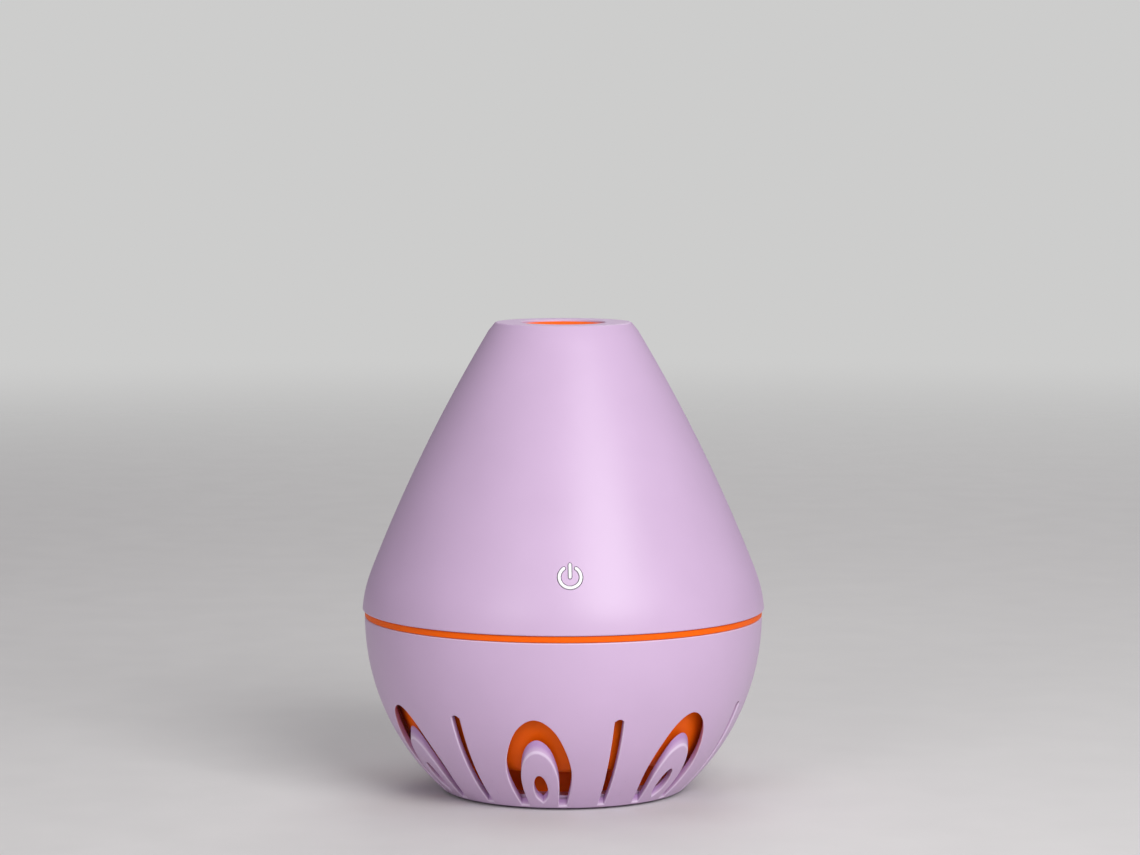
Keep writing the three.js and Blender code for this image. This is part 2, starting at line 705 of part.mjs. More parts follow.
function wickTube() {
  const collar = tubeOuter + COLLAR_REACH;
  const collarTop = lipBottom - FIT;
  let body = solid(
    turned([
      [tubeInner, tubeBottom],
      [tubeOuter, tubeBottom],
      [tubeOuter, collarTop - COLLAR_HEIGHT],
      [collar, collarTop - COLLAR_HEIGHT + 0.6],
      [collar, lugTop],
      [tubeOuter, lugTop],
      [tubeOuter, tubeTop],
      [tubeInner, tubeTop],
    ]),
  );
  for (const angle of [0, 180]) {
    body = body.add(wedge(tubeInner + 1, lugOuter, lugBottom, lugTop, angle, LUG_ANGLE));
  }
  const windowTop = collarTop - COLLAR_HEIGHT - 2;
  const windowBottom = capBottom + WICK_CAP_HEIGHT + 2;
  for (const angle of [0, 90]) {
    const window = block(3, 4 * tubeOuter, windowBottom, windowTop);
    body = body.subtract(solid(window, around(angle)));
  }
  return body;
}

const wickGroup = new THREE.Group();
humidifier.add(wickGroup);
place("wick_tube", wickTube(), MILKY, wickGroup);

const capInner = tubeOuter + 0.15;
let wickCap = solid(
  turned([
    [1.5, capBottom],
    [capInner + WICK_CAP_WALL - 0.8, capBottom],
    [capInner + WICK_CAP_WALL, capBottom + 0.8],
    [capInner + WICK_CAP_WALL, capBottom + WICK_CAP_HEIGHT],
    [capInner, capBottom + WICK_CAP_HEIGHT],
    [capInner, capFloorTop],
    [1.5, capFloorTop],
  ]),
);
for (let i = 0; i < 4; i++) {
  const inlet = bar(0.8, capBottom - 1, capFloorTop + 1, 10);
  wickCap = wickCap.subtract(solid(inlet, around(45 + 90 * i, 3.6)));
}
place("wick_cap", wickCap, MILKY, wickGroup);

class Helix extends THREE.Curve {
  getPoint(t) {
    const a = 2 * Math.PI * SPRING_TURNS * t;
    const r = tubeInner - SPRING_WIRE - 0.5;
    const low = tubeBottom + SPRING_WIRE + SEAT_GAP;
    return new THREE.Vector3(r * Math.cos(a), r * Math.sin(a), low + SPRING_HEIGHT * t * 0.9);
  }
}
place("wick_spring", tube(new Helix(), SPRING_WIRE, SPRING_TURNS * 9, 4), STEEL, wickGroup);

place(
  "wick",
  turned([
    [0, wickBottom],
    [WICK_RADIUS - 0.4, wickBottom],
    [WICK_RADIUS, wickBottom + 0.4],
    [WICK_RADIUS, tubeTop],
    [wickTipRadius, tubeTop + 0.6],
    [wickTipRadius, discBottom - SEAT_GAP - 0.4],
    [wickTipRadius - 0.4, discBottom - SEAT_GAP],
    [0, discBottom - SEAT_GAP],
  ]),
  COTTON,
  wickGroup,
);

// ---------- upper half: control board ----------

const socketMouth = headAt(boardTop + SOCKET_HEIGHT / 2, HEAD_WALL).radius - 0.9;
const tongueEnd = socketMouth - 0.6;

function controlBoard() {
  let board = solid(ring(BOARD_HOLE_RADIUS, boardRadius, boardBottom, boardTop, 28));
  const tongue = block(BOARD_TONGUE_WIDTH, tongueEnd - boardRadius + 8, boardBottom, boardTop);
  tongue.translate(0, (tongueEnd + boardRadius - 8) / 2, 0);
  board = board.add(solid(tongue));
  for (const angle of STANDOFF_ANGLES) {
    const hole = bar(1.3, boardBottom - 1, boardTop + 1, 12);
    board = board.subtract(solid(hole, around(angle, standoffCentre)));
  }
  return board;
}

place("control_board", controlBoard(), BOARD_GREEN);

STANDOFF_ANGLES.forEach((angle, i) => {
  const body = screw(2, 1.3, 0.9, BOARD_THICKNESS + 4);
  const mesh = place(`board_screw_${i + 1}`, body, STEEL);
  const flip = new THREE.Matrix4().makeRotationX(Math.PI);
  mesh.applyMatrix4(around(angle, standoffCentre, boardTop + SEAT_GAP).multiply(flip));
});

// The inlet lies on the board's tongue with its mouth to the back.
const socketLow = boardTop + SEAT_GAP;
function socketSlab(width, height, radius, from, to) {
  const shape = slab(roundedBox(width, height, radius), -to, -from);
  return solid(shape.rotateX(Math.PI / 2).translate(0, 0, socketLow + SOCKET_HEIGHT / 2));
}
const socketBody = socketSlab(
  SOCKET_WIDTH,
  SOCKET_HEIGHT,
  SOCKET_HEIGHT * 0.49,
  socketMouth - SOCKET_DEPTH,
  socketMouth,
).subtract(
  socketSlab(
    SOCKET_WIDTH - 2 * SOCKET_WALL,
    SOCKET_HEIGHT - 2 * SOCKET_WALL,
    SOCKET_HEIGHT * 0.49 - SOCKET_WALL,
    socketMouth - SOCKET_DEPTH + 1,
    socketMouth + 1,
  ),
);
place("usb_socket", socketBody, STEEL);
place(
  "usb_tongue",
  socketSlab(6.6, 0.7, 0.3, socketMouth - SOCKET_DEPTH + 1 + SEAT_GAP, socketMouth - 0.8),
  BLACK,
);

// Board components stand on the board's upper side.
const deck = boardTop + SEAT_GAP;
const partCentre = boardRadius - 12;
place(
  "inductor",
  solid(ring(1.6, 4.2, deck, deck + 1, 20))
    .add(solid(bar(2.6, deck, deck + 5.2, 20)))
    .add(solid(bar(4.2, deck + 4.4, deck + 5.4, 20))),
  FERRITE,
).applyMatrix4(around(245, partCentre));
place(
  "capacitor",
  turned([
    [0, deck],
    [2.5, deck],
    [2.5, deck + 1],
    [2.3, deck + 1.3],
    [2.5, deck + 1.6],
    [2.5, deck + 6.6],
    [2.1, deck + 7],
    [0, deck + 7],
  ], 20),
  BLACK,
).applyMatrix4(around(292, partCentre));

let chip = solid(block(4, 5, deck + 0.2, deck + 1.7));
for (const side of [-1, 1]) {
  for (let i = 0; i < 4; i++) {
    const leg = block(1.4, 0.45, deck, deck + 0.5).translate(side * 2.4, -1.9 + 1.27 * i, 0);
    chip = chip.add(solid(leg));
  }
}
place("driver_chip", chip, BLACK).applyMatrix4(around(140, partCentre));

function plugHousing() {
  return solid(block(6.4, 4.6, deck, deck + 4)).subtract(
    solid(block(5, 3.2, deck + 1, deck + 5)),
  );
}
const atomizerConnectorAngle = 100;
const buttonConnectorAngle = 20;
place("atomizer_connector", plugHousing(), MILKY).applyMatrix4(
  around(atomizerConnectorAngle, partCentre),
);
place("button_connector", plugHousing(), MILKY).applyMatrix4(
  around(buttonConnectorAngle, partCentre),
);

// ---------- upper half: power button and its switch ----------

const halfStroke = STROKE_WIDTH / 2;
const powerButton = symbol(halfStroke, plateFront - 0.4, STROKE_PROUD)
  .add(solid(bar(BUTTON_PLATE_RADIUS, plateBack, plateFront, 28)))
  .add(solid(bar(STEM_RADIUS, stemBack, plateBack + 0.2, TINY_SEGMENTS)));
place("power_button", powerButton, SYMBOL_WHITE, buttonGroup);

const plungerDepth = 0.7; // part of the plunger inside the switch at rest
place(
  "switch_plunger",
  bar(PLUNGER_RADIUS, switchFront - plungerDepth, plungerFront, TINY_SEGMENTS),
  BLACK,
  buttonGroup,
);
place(
  "tact_switch",
  solid(block(SWITCH_SIZE, SWITCH_SIZE, switchBack, switchFront)).subtract(
    solid(
      bar(
        PLUNGER_RADIUS + 0.2,
        switchFront - plungerDepth - BUTTON_TRAVEL - 0.3,
        switchFront + 1,
        TINY_SEGMENTS,
      ),
    ),
  ),
  STEEL,
  buttonGroup,
);

let switchBoard = solid(
  slab(roundedBox(SWITCH_BOARD_WIDTH, SWITCH_BOARD_HEIGHT, 1.5, 2), switchBoardBack, switchBoardFront),
);
for (const side of [-1, 1]) {
  const hole = bar(1.2, switchBoardBack - 1, switchBoardFront + 1, 12);
  switchBoard = switchBoard.subtract(solid(hole.translate(side * SWITCH_BOSS_OFFSET, 0, 0)));
}
place("button_board", switchBoard, BOARD_GREEN, buttonGroup);

[-1, 1].forEach((side, i) => {
  const mesh = place(`button_screw_${i + 1}`, screw(1.9, 1.3, 0.8, 5.4), STEEL, buttonGroup);
  mesh.position.set(side * SWITCH_BOSS_OFFSET, 0, switchBoardBack - SEAT_GAP);
  const led = block(2, 1.2, switchBoardFront + SEAT_GAP, switchBoardFront + SEAT_GAP + 0.8);
  place(`button_led_${i + 1}`, led, LED_WHITE, buttonGroup).position.y = side * 4.6;
});

// ---------- upper half: wires ----------

// A point in the button's frame as a point of the whole object.
function fromButton(x, y, z) {
  return new THREE.Vector3(x, y, z).applyMatrix4(buttonGroup.matrix).toArray();
}

function onCircle(angle, radius, z) {
  return new THREE.Vector3().applyMatrix4(around(angle, radius, z)).toArray();
}

const discLeadZ = (grooveLow + grooveHigh) / 2;
[-1, 1].forEach((side, i) => {
  const spread = (radius) => atomizerConnectorAngle + (side * 57.3 * 0.9) / radius;
  const high = seatFloor - 12;
  const clear = sleeveOuter + 2;
  place(
    `atomizer_lead_${i + 1}`,
    wire(
      [
        onCircle(spread(partCentre), partCentre, deck + 1.6),
        onCircle(spread(partCentre), partCentre, deck + 9),
        onCircle(spread(clear + 3), clear + 3, deck + 22),
        onCircle(spread(clear), clear, (deck + high) / 2),
        onCircle(spread(clear), clear, high),
        onCircle(spread(discSealOuter + 5), discSealOuter + 5, seatFloor - 4),
        onCircle(spread(discSealOuter + 4), discSealOuter + 4, discLeadZ - 0.6),
        onCircle(spread(discSealOuter), discSealOuter, discLeadZ),
        onCircle(spread(DISC_RADIUS + 0.3), DISC_RADIUS + 0.3, discLeadZ),
      ],
      0.45,
      18,
    ),
    i ? WIRE_BLACK : WIRE_RED,
  );
});

[-1, 1].forEach((side, i) => {
  const spread = (side * 57.3 * 0.9) / partCentre;
  const angle = buttonConnectorAngle + spread;
  place(
    `button_lead_${i + 1}`,
    wire(
      [
        fromButton(3.5 + side * 0.9, -1.5, switchBoardBack - 0.5),
        fromButton(3.5 + side * 0.9, -1.5, switchBoardBack - 4),
        onCircle(angle, partCentre + 4, deck + 9.5),
        onCircle(angle, partCentre, deck + 6.5),
        onCircle(angle, partCentre, deck + 1.6),
      ],
      0.45,
      10,
    ),
    i ? WIRE_BLACK : WIRE_RED,
  );
});

// ---------- between the halves ----------

const rebateFloor = cupTop - SEAL_DEPTH;
place(
  "seal_ring",
  turned(
    [
      [mouthRadius + FIT, rebateFloor + SEAT_GAP],
      [mouthRadius + SEAL_WIDTH - FIT, rebateFloor + SEAT_GAP],
      [mouthRadius + SEAL_WIDTH - FIT, cupTop],
      [mouthRadius + FIT, cupTop],
    ],
    SHELL_SEGMENTS,
  ),
  SILICONE,
);

// ---------- lower half: water cup ----------

const bossBottom = ledgeTop;

function waterCup() {
  const wallTop = bandBottom - CUP_COLLAR_DEPTH;
  const collarRadius = bowlRadius(bowlTop, BOWL_WALL) - PLUG_FIT;
  const corner = bowlRadius(CUP_FLOOR_Z, cupInset);
  const innerInset = cupInset + CUP_WALL;
  const side = (low, high, inset, steps) => {
    const points = [];
    for (let i = 0; i <= steps; i++) {
      const z = low + ((high - low) * i) / steps;
      points.push([bowlRadius(z, inset), z]);
    }
    return points;
  };
  let cup = solid(
    turned(
      [
        [0, CUP_FLOOR_Z],
        [CUP_FOOT_RADIUS - CUP_FOOT_WIDTH, CUP_FLOOR_Z],
        [CUP_FOOT_RADIUS - CUP_FOOT_WIDTH, ledgeTop + SEAT_GAP],
        [CUP_FOOT_RADIUS, ledgeTop + SEAT_GAP],
        [CUP_FOOT_RADIUS, CUP_FLOOR_Z],
        [corner - 1, CUP_FLOOR_Z],
        ...side(CUP_FLOOR_Z + 0.7, wallTop, cupInset, 6),
        [collarRadius, wallTop + 0.4],
        [collarRadius, bandBottom],
        [bandRadius, bandBottom],
        [bandRadius, cupTop],
        [mouthRadius + SEAL_WIDTH, cupTop],
        [mouthRadius + SEAL_WIDTH, rebateFloor],
        [mouthRadius, rebateFloor],
        ...side(cupFloorTop + 1.2, rebateFloor - 2, innerInset, 5).reverse(),
        [bowlRadius(cupFloorTop, innerInset) - 1.6, cupFloorTop],
        [0, cupFloorTop],
      ],
      SHELL_SEGMENTS,
    ),
  );
  for (const angle of BASE_SCREW_ANGLES) {
    const at = around(angle, BASE_SCREW_RADIUS);
    cup = cup.add(solid(bar(3, bossBottom, CUP_FLOOR_Z + 0.5, TINY_SEGMENTS), at));
    cup = cup.subtract(solid(bar(1.2, bossBottom - 1, CUP_FLOOR_Z - 0.8, 10), at));
  }
  return cup;
}

place("water_cup", waterCup(), ORANGE);

// ---------- lower half: pierced bowl ----------

// The bowl leaves its mould straight up, so every opening is cut upright through the slanting wall.
// That makes the cut faces tall, and a petal's top edge stands well above its front edge.

// A smooth outline through a side and its mirror image, seen from above.
function openingOutline(side, steps) {
  const mirrored = side.slice(0, -1).reverse().map(([degrees, z]) => [-degrees, z]);
  const knots = [...side, ...mirrored].map(([degrees, z]) => new THREE.Vector2(degrees, z));
  return new THREE.SplineCurve(knots).getPoints(steps).map(({ x, y }) => {
    const r = bowlRadius(y);
    return new THREE.Vector2(r * Math.sin(rad(x)), -r * Math.cos(rad(x)));
  });
}

function uprightCut(outline, angle) {
  return solid(slab(outline, 0, bowlTop), around(angle));
}

// The bowl's wall, with a ledge inside it for the cup to stand on.
function bowlSolid() {
  const outer = [];
  const inner = [];
  const outerSteps = 6;
  for (let i = 0; i <= outerSteps; i++) {
    const z = FOOT_RISE + BASE_SOFTENING + ((bowlHeight - BASE_SOFTENING) * i) / outerSteps;
    outer.push([bowlRadius(z), z]);
  }
  const innerSteps = 5;
  for (let i = 0; i <= innerSteps; i++) {
    const z = ledgeTop + ((bowlTop - ledgeTop) * i) / innerSteps;
    inner.unshift([bowlRadius(z, BOWL_WALL), z]);
  }
  return solid(
    turned(
      [
        [baseRecess, FOOT_RISE],
        [bowlRadius(FOOT_RISE) - BASE_SOFTENING, FOOT_RISE],
        ...outer,
        ...inner,
        [LEDGE_RADIUS, ledgeTop],
        [LEDGE_RADIUS, ledgeBottom],
        [baseRecess, ledgeBottom],
      ],
      SHELL_SEGMENTS,
    ),
  );
}

function lowerShell() {
  const petalStep = 360 / PETAL_COUNT;
  const arch = openingOutline(ARCH_SIDE, 20);
  const petal = openingOutline(PETAL_SIDE, 16);
  const roundPetal = [...arch, ...petal.reverse()];
  const eyelet = openingOutline(EYELET_SIDE, 12).slice(0, -1);
  const slot = openingOutline(SLOT_SIDE, 16);
  const cuts = [];
  for (let i = 0; i < PETAL_COUNT; i++) {
    const angle = PETAL_START_ANGLE + i * petalStep;
    cuts.push(uprightCut(roundPetal, angle));
    cuts.push(uprightCut(eyelet, angle));
    cuts.push(uprightCut(slot, angle + petalStep / 2));
  }
  return bowlSolid().subtract(wasm.Manifold.union(cuts));
}

place("lower_shell", lowerShell(), LILAC);

// ---------- lower half: base plate, screws and pads ----------

const basePlateRadius = baseRecess - FIT;
const padCentre = basePlateRadius - PAD_INSET - PAD_RADIUS;
const padAngle = (i) => 45 + (360 * i) / PAD_COUNT;
const screwSeat = basePlateTop + 0.6;

function basePlate() {
  let plate = solid(bar(basePlateRadius, FOOT_RISE, basePlateTop, 28));
  for (const angle of BASE_SCREW_ANGLES) {
    const at = around(angle, BASE_SCREW_RADIUS);
    plate = plate.add(solid(bar(4, basePlateTop - 0.5, bossBottom - SEAT_GAP, 16), at));
    plate = plate.subtract(solid(bar(2.7, FOOT_RISE - 1, screwSeat, 16), at));
    plate = plate.subtract(solid(bar(1.4, FOOT_RISE, bossBottom + 1, 12), at));
  }
  for (let i = 0; i < PAD_COUNT; i++) {
    const pocket = bar(PAD_RADIUS + FIT, FOOT_RISE - 1, PAD_THICKNESS + SEAT_GAP, SMALL_SEGMENTS);
    plate = plate.subtract(solid(pocket, around(padAngle(i), padCentre)));
  }
  return plate;
}

place("base_plate", basePlate(), LILAC);

BASE_SCREW_ANGLES.forEach((angle, i) => {
  const mesh = place(`base_screw_${i + 1}`, screw(2.3, 1.6, 1, 6.5), STEEL);
  mesh.applyMatrix4(around(angle, BASE_SCREW_RADIUS, screwSeat - SEAT_GAP));
});

for (let i = 0; i < PAD_COUNT; i++) {
  const pad = turned([
    [0, 0],
    [PAD_RADIUS - 0.3, 0],
    [PAD_RADIUS, 0.3],
    [PAD_RADIUS, PAD_THICKNESS],
    [0, PAD_THICKNESS],
  ]);
  place(`foot_pad_${i + 1}`, pad, SILICONE).applyMatrix4(around(padAngle(i), padCentre));
}

export default humidifier;
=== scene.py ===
# %% [markdown]
# # A cool mist humidifier
# The object stands in two halves. The lower half is a pierced bowl with an orange water cup inside
# it, and the upper half is a smooth head that lifts off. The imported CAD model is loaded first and
# stays as it is. Each visible shell is then modelled again with a finer surface and rounded edges,
# in the same place, and rides on the same body.

import json
import math

import bpy
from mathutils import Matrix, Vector


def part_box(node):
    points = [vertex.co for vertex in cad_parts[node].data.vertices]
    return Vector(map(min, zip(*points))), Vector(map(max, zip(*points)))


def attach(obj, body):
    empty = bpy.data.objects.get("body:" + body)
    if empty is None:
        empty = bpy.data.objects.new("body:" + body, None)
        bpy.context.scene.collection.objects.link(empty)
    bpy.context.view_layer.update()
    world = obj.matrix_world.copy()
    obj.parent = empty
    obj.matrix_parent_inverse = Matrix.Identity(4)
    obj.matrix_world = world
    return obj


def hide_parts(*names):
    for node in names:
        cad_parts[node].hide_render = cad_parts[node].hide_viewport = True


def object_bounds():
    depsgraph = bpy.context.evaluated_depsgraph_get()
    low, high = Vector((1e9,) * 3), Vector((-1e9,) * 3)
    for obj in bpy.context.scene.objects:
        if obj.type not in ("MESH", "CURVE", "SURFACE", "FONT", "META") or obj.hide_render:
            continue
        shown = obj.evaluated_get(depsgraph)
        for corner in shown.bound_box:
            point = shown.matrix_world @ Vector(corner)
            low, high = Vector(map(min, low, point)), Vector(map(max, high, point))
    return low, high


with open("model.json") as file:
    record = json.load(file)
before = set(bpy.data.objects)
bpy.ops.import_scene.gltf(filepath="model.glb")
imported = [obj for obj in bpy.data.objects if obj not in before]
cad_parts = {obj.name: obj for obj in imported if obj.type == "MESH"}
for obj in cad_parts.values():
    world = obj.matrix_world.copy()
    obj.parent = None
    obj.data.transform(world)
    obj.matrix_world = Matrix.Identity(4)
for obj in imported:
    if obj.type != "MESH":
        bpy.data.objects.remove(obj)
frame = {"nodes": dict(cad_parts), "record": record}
nodes = frame["nodes"]
cad_low, cad_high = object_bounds()
print("packed pieces:", len(nodes), "box:", tuple(cad_low), tuple(cad_high))

# %% [markdown]
# ## The camera, the table and the light
# A long lens from about a metre away keeps the outline nearly straight-sided. The camera stands a
# little above the object and a little to its left. A broad light from the front right and a small
# one from the front left give satin plastic its two soft highlights on the shoulder. Weak ones
# from above and behind keep the other sides readable, and a pale table fills the shade underneath.
# The room gives only a weak fill, but looks pale behind the object, like a lit paper wall.

# %% Camera
MM = 0.001
CAMERA_TURN = math.radians(-2.08)
CAMERA_DISTANCE = 1007 * MM
CAMERA_SIDESTEP = 1.82 * MM
CAMERA_HEIGHT = 190 * MM
CAMERA_TILT = math.radians(5.13)
LENS_LENGTH = 116.84
SENSOR_WIDTH = 36
away = Vector((math.sin(CAMERA_TURN), -math.cos(CAMERA_TURN), 0))
rightward = Vector((math.cos(CAMERA_TURN), math.sin(CAMERA_TURN), 0))
spot = away * CAMERA_DISTANCE + rightward * CAMERA_SIDESTEP + Vector((0, 0, CAMERA_HEIGHT))
bpy.ops.object.camera_add(location=spot, rotation=(math.pi / 2 - CAMERA_TILT, 0, CAMERA_TURN))
camera = bpy.context.object
camera.data.lens = LENS_LENGTH
camera.data.sensor_width = SENSOR_WIDTH
camera.data.clip_start = 50 * MM
bpy.context.scene.camera = camera
print("camera at", tuple(round(v, 4) for v in camera.location))


# %% Lights
AIM_SHARE = 0.45
middle = Vector((0, 0, cad_high.z * AIM_SHARE))


def soft_light(name, place, size, power):
    """A square light at a place, turned to face the middle of the object."""
    bpy.ops.object.light_add(type="AREA", location=place)
    light = bpy.context.object
    light.name = name
    light.rotation_euler = (middle - Vector(place)).to_track_quat("-Z", "Y").to_euler()
    light.data.size = size
    light.data.energy = power


soft_light("key_light", (0.50, -1.00, 0.72), 0.75, 13.0)
soft_light("left_light", (-0.55, -0.92, 0.48), 0.40, 2.0)
soft_light("top_light", (0.0, 0.15, 1.10), 0.80, 2.2)
soft_light("back_light", (0.25, 1.15, 0.90), 0.70, 3.0)

# %% The room
SEEN_WALL = (0.61, 0.61, 0.605, 1)
FILL_COLOUR = (0.88, 0.82, 0.90, 1)
FILL_STRENGTH = 0.22
world = bpy.data.worlds.new("pale_room")
bpy.context.scene.world = world
world.use_nodes = True
room = world.node_tree
fill = room.nodes["Background"]
fill.inputs["Color"].default_value = FILL_COLOUR
fill.inputs["Strength"].default_value = FILL_STRENGTH
seen_wall = room.nodes.new("ShaderNodeBackground")
seen_wall.inputs["Color"].default_value = SEEN_WALL
rays = room.nodes.new("ShaderNodeLightPath")
choose = room.nodes.new("ShaderNodeMixShader")
room.links.new(rays.outputs["Is Camera Ray"], choose.inputs["Fac"])
room.links.new(fill.outputs["Background"], choose.inputs[1])
room.links.new(seen_wall.outputs["Background"], choose.inputs[2])
room.links.new(choose.outputs["Shader"], room.nodes["World Output"].inputs["Surface"])
bpy.context.scene.view_settings.view_transform = "Standard"
print("nodes of the room:", len(room.nodes))


# %% [markdown]
# ## The finishes
# Moulded plastic is never one flat colour: it has a very fine grain, faint flow marks and slightly
# uneven gloss. One helper builds that from noise, and each finish gives it its own colour, gloss
# and grain. Patterns read object coordinates, so they stay put when a piece moves. The bowl also
# has light and shade painted into its colour: a pale painted highlight along its rims, and a deeper
# purple painted shade on its cut walls. A number kept at each point of its mesh says how deep in
# the wall the point lies, and the painted light and shade follow that.


# %% A helper for finishes
FLOW_SCALE = 45
GRAIN_DEPTH = 0.2 * MM
GLOSS_SPREAD = 0.12


def finish(name, colour, rough, drift=0.06, grain=2500, bump=0.03, metal=0.0, stretch=(1, 1, 1)):
    """A surface with drifting tone, uneven gloss and a fine grain. Grain is in features per metre."""
    material = bpy.data.materials.new(name)
    material.use_nodes = True
    tree = material.node_tree
    shader = tree.nodes["Principled BSDF"]
    shader.inputs["Metallic"].default_value = metal

    coordinates = tree.nodes.new("ShaderNodeTexCoord")
    mapping = tree.nodes.new("ShaderNodeMapping")
    mapping.inputs["Scale"].default_value = stretch
    tree.links.new(coordinates.outputs["Object"], mapping.inputs["Vector"])

    flow = tree.nodes.new("ShaderNodeTexNoise")
    flow.inputs["Scale"].default_value = FLOW_SCALE
    flow.inputs["Detail"].default_value = 4
    tree.links.new(mapping.outputs["Vector"], flow.inputs["Vector"])

    fine = tree.nodes.new("ShaderNodeTexNoise")
    fine.inputs["Scale"].default_value = grain
    fine.inputs["Detail"].default_value = 3
    tree.links.new(mapping.outputs["Vector"], fine.inputs["Vector"])

    tones = tree.nodes.new("ShaderNodeValToRGB")
    tones.name = "tones"
    tones.color_ramp.elements[0].position = 0.25
    tones.color_ramp.elements[1].position = 0.75
    tones.color_ramp.elements[0].color = (*[c * (1 - drift) for c in colour], 1)
    tones.color_ramp.elements[1].color = (*[min(1, c * (1 + drift)) for c in colour], 1)
    tree.links.new(flow.outputs["Fac"], tones.inputs["Fac"])
    tree.links.new(tones.outputs["Color"], shader.inputs["Base Color"])

    gloss = tree.nodes.new("ShaderNodeMapRange")
    gloss.inputs["To Min"].default_value = rough * (1 - GLOSS_SPREAD)
    gloss.inputs["To Max"].default_value = min(1.0, rough * (1 + GLOSS_SPREAD))
    tree.links.new(flow.outputs["Fac"], gloss.inputs["Value"])
    tree.links.new(gloss.outputs["Result"], shader.inputs["Roughness"])

    relief = tree.nodes.new("ShaderNodeBump")
    relief.inputs["Strength"].default_value = bump
    relief.inputs["Distance"].default_value = GRAIN_DEPTH
    tree.links.new(fine.outputs["Fac"], relief.inputs["Height"])
    tree.links.new(relief.outputs["Normal"], shader.inputs["Normal"])
    return material


def shader_of(material):
    """The shader node that a finish's own settings are on."""
    return material.node_tree.nodes["Principled BSDF"]


# %% The finishes of this object
LILAC = (0.62, 0.445, 0.655)
lilac = finish("lilac_abs", LILAC, 0.40, drift=0.025)
orange = finish("orange_pp", (1.0, 0.135, 0.002), 0.46, drift=0.04)
shader_of(orange).inputs["Specular IOR Level"].default_value = 0.12
shader_of(orange).inputs["Subsurface Weight"].default_value = 0.15
shader_of(orange).inputs["Subsurface Radius"].default_value = (4 * MM, 1.5 * MM, 0.5 * MM)
milky = finish("milky_pp", (0.82, 0.80, 0.76), 0.45)
shader_of(milky).inputs["Subsurface Weight"].default_value = 0.3
shader_of(milky).inputs["Subsurface Radius"].default_value = (3 * MM, 3 * MM, 3 * MM)
white_guide = finish("white_light_guide", (0.92, 0.92, 0.93), 0.3, drift=0.02)
silicone = finish("silicone", (0.72, 0.69, 0.65), 0.68, bump=0.06)
FIBRE_STRETCH = (1, 1, 0.08)
cotton = finish(
    "cotton", (0.88, 0.84, 0.74), 0.95, drift=0.1, grain=1400, bump=0.9, stretch=FIBRE_STRETCH
)
TURNED_STRETCH = (1, 1, 12)
steel = finish(
    "steel", (0.58, 0.59, 0.61), 0.28, grain=900, bump=0.05, metal=1.0, stretch=TURNED_STRETCH
)
ceramic = finish("ceramic", (0.76, 0.71, 0.60), 0.5, bump=0.12)
board_green = finish("solder_mask", (0.02, 0.16, 0.06), 0.35, drift=0.15, grain=500, bump=0.12)
lamp = finish("lamp_body", (0.92, 0.86, 0.50), 0.35)
red_wire = finish("red_insulation", (0.50, 0.02, 0.01), 0.4)
black_wire = finish("black_insulation", (0.02, 0.02, 0.02), 0.4)
black = finish("black_moulding", (0.02, 0.02, 0.022), 0.5, bump=0.1)
ferrite = finish("ferrite", (0.055, 0.055, 0.06), 0.75, grain=1200, bump=0.3)
print("finishes:", len([m for m in bpy.data.materials if m.use_nodes]))


# %% A helper that paints a highlight on rims and shade on cut walls
# Depths in the wall that take the painted rim highlight.
RIM_HIGHLIGHT_STOPS = ((0.0, 0), (0.04, 1), (0.13, 1), (0.22, 0))
# Depths in the wall that take the painted cut-wall shade.
WALL_SHADE_STOPS = ((0.20, 0), (0.60, 1))


def paint_light_on_cuts(material, rim_highlight_tone, wall_shade_tone):
    """Paints light and shade into a finish by how deep in the wall a point lies: a pale painted
    highlight on the rim, then a deeper painted shade on the cut face.
    """
    tree = material.node_tree
    depth = tree.nodes.new("ShaderNodeAttribute")
    depth.attribute_name = "cut_depth"
    colour = tree.nodes["tones"].outputs["Color"]
    # First the painted highlight on the rim, then the painted shade on the cut face.
    for tone, stops in ((rim_highlight_tone, RIM_HIGHLIGHT_STOPS), (wall_shade_tone, WALL_SHADE_STOPS)):
        mask = tree.nodes.new("ShaderNodeValToRGB")
        while len(mask.color_ramp.elements) < len(stops):
            mask.color_ramp.elements.new(0.5)
        for element, (place, amount) in zip(mask.color_ramp.elements, stops):
            element.position = place
            element.color = (amount, amount, amount, 1)
        tree.links.new(depth.outputs["Fac"], mask.inputs["Fac"])
        blend = tree.nodes.new("ShaderNodeMix")
        blend.data_type = "RGBA"
        blend.inputs["B"].default_value = (*tone, 1)
        tree.links.new(mask.outputs["Color"], blend.inputs["Factor"])
        tree.links.new(colour, blend.inputs["A"])
        colour = blend.outputs["Result"]
    tree.links.new(colour, shader_of(material).inputs["Base Color"])


# %% The bowl's finish, with a painted rim highlight and painted cut-wall shade
# A pale lilac painted along the bowl's rims as a highlight, where the rounded edges would catch the
# light.
RIM_PAINTED_HIGHLIGHT = (0.76, 0.61, 0.80)
# A deeper purple painted on the cut walls as shade, the look that lilac takes in deep shade.
CUT_PAINTED_SHADE = (0.47, 0.27, 0.54)
lilac_with_painted_light = finish("lilac_abs_pierced_painted_light", LILAC, 0.40, drift=0.025)
paint_light_on_cuts(lilac_with_painted_light, RIM_PAINTED_HIGHLIGHT, CUT_PAINTED_SHADE)
print("nodes of the bowl's finish:", len(lilac_with_painted_light.node_tree.nodes))

# %% The finish that each slot takes
SLOT_FINISHES = {
    "lilac_plastic": lilac,
    "orange_plastic": orange,
    "white_light_guide": white_guide,
    "milky_plastic": milky,
    "silicone": silicone,
    "cotton": cotton,
    "steel": steel,
    "ceramic": ceramic,
    "circuit_board": board_green,
    "led_body": lamp,
    "red_wire": red_wire,
    "black_wire": black_wire,
    "black_plastic": black,
    "ferrite": ferrite,
}

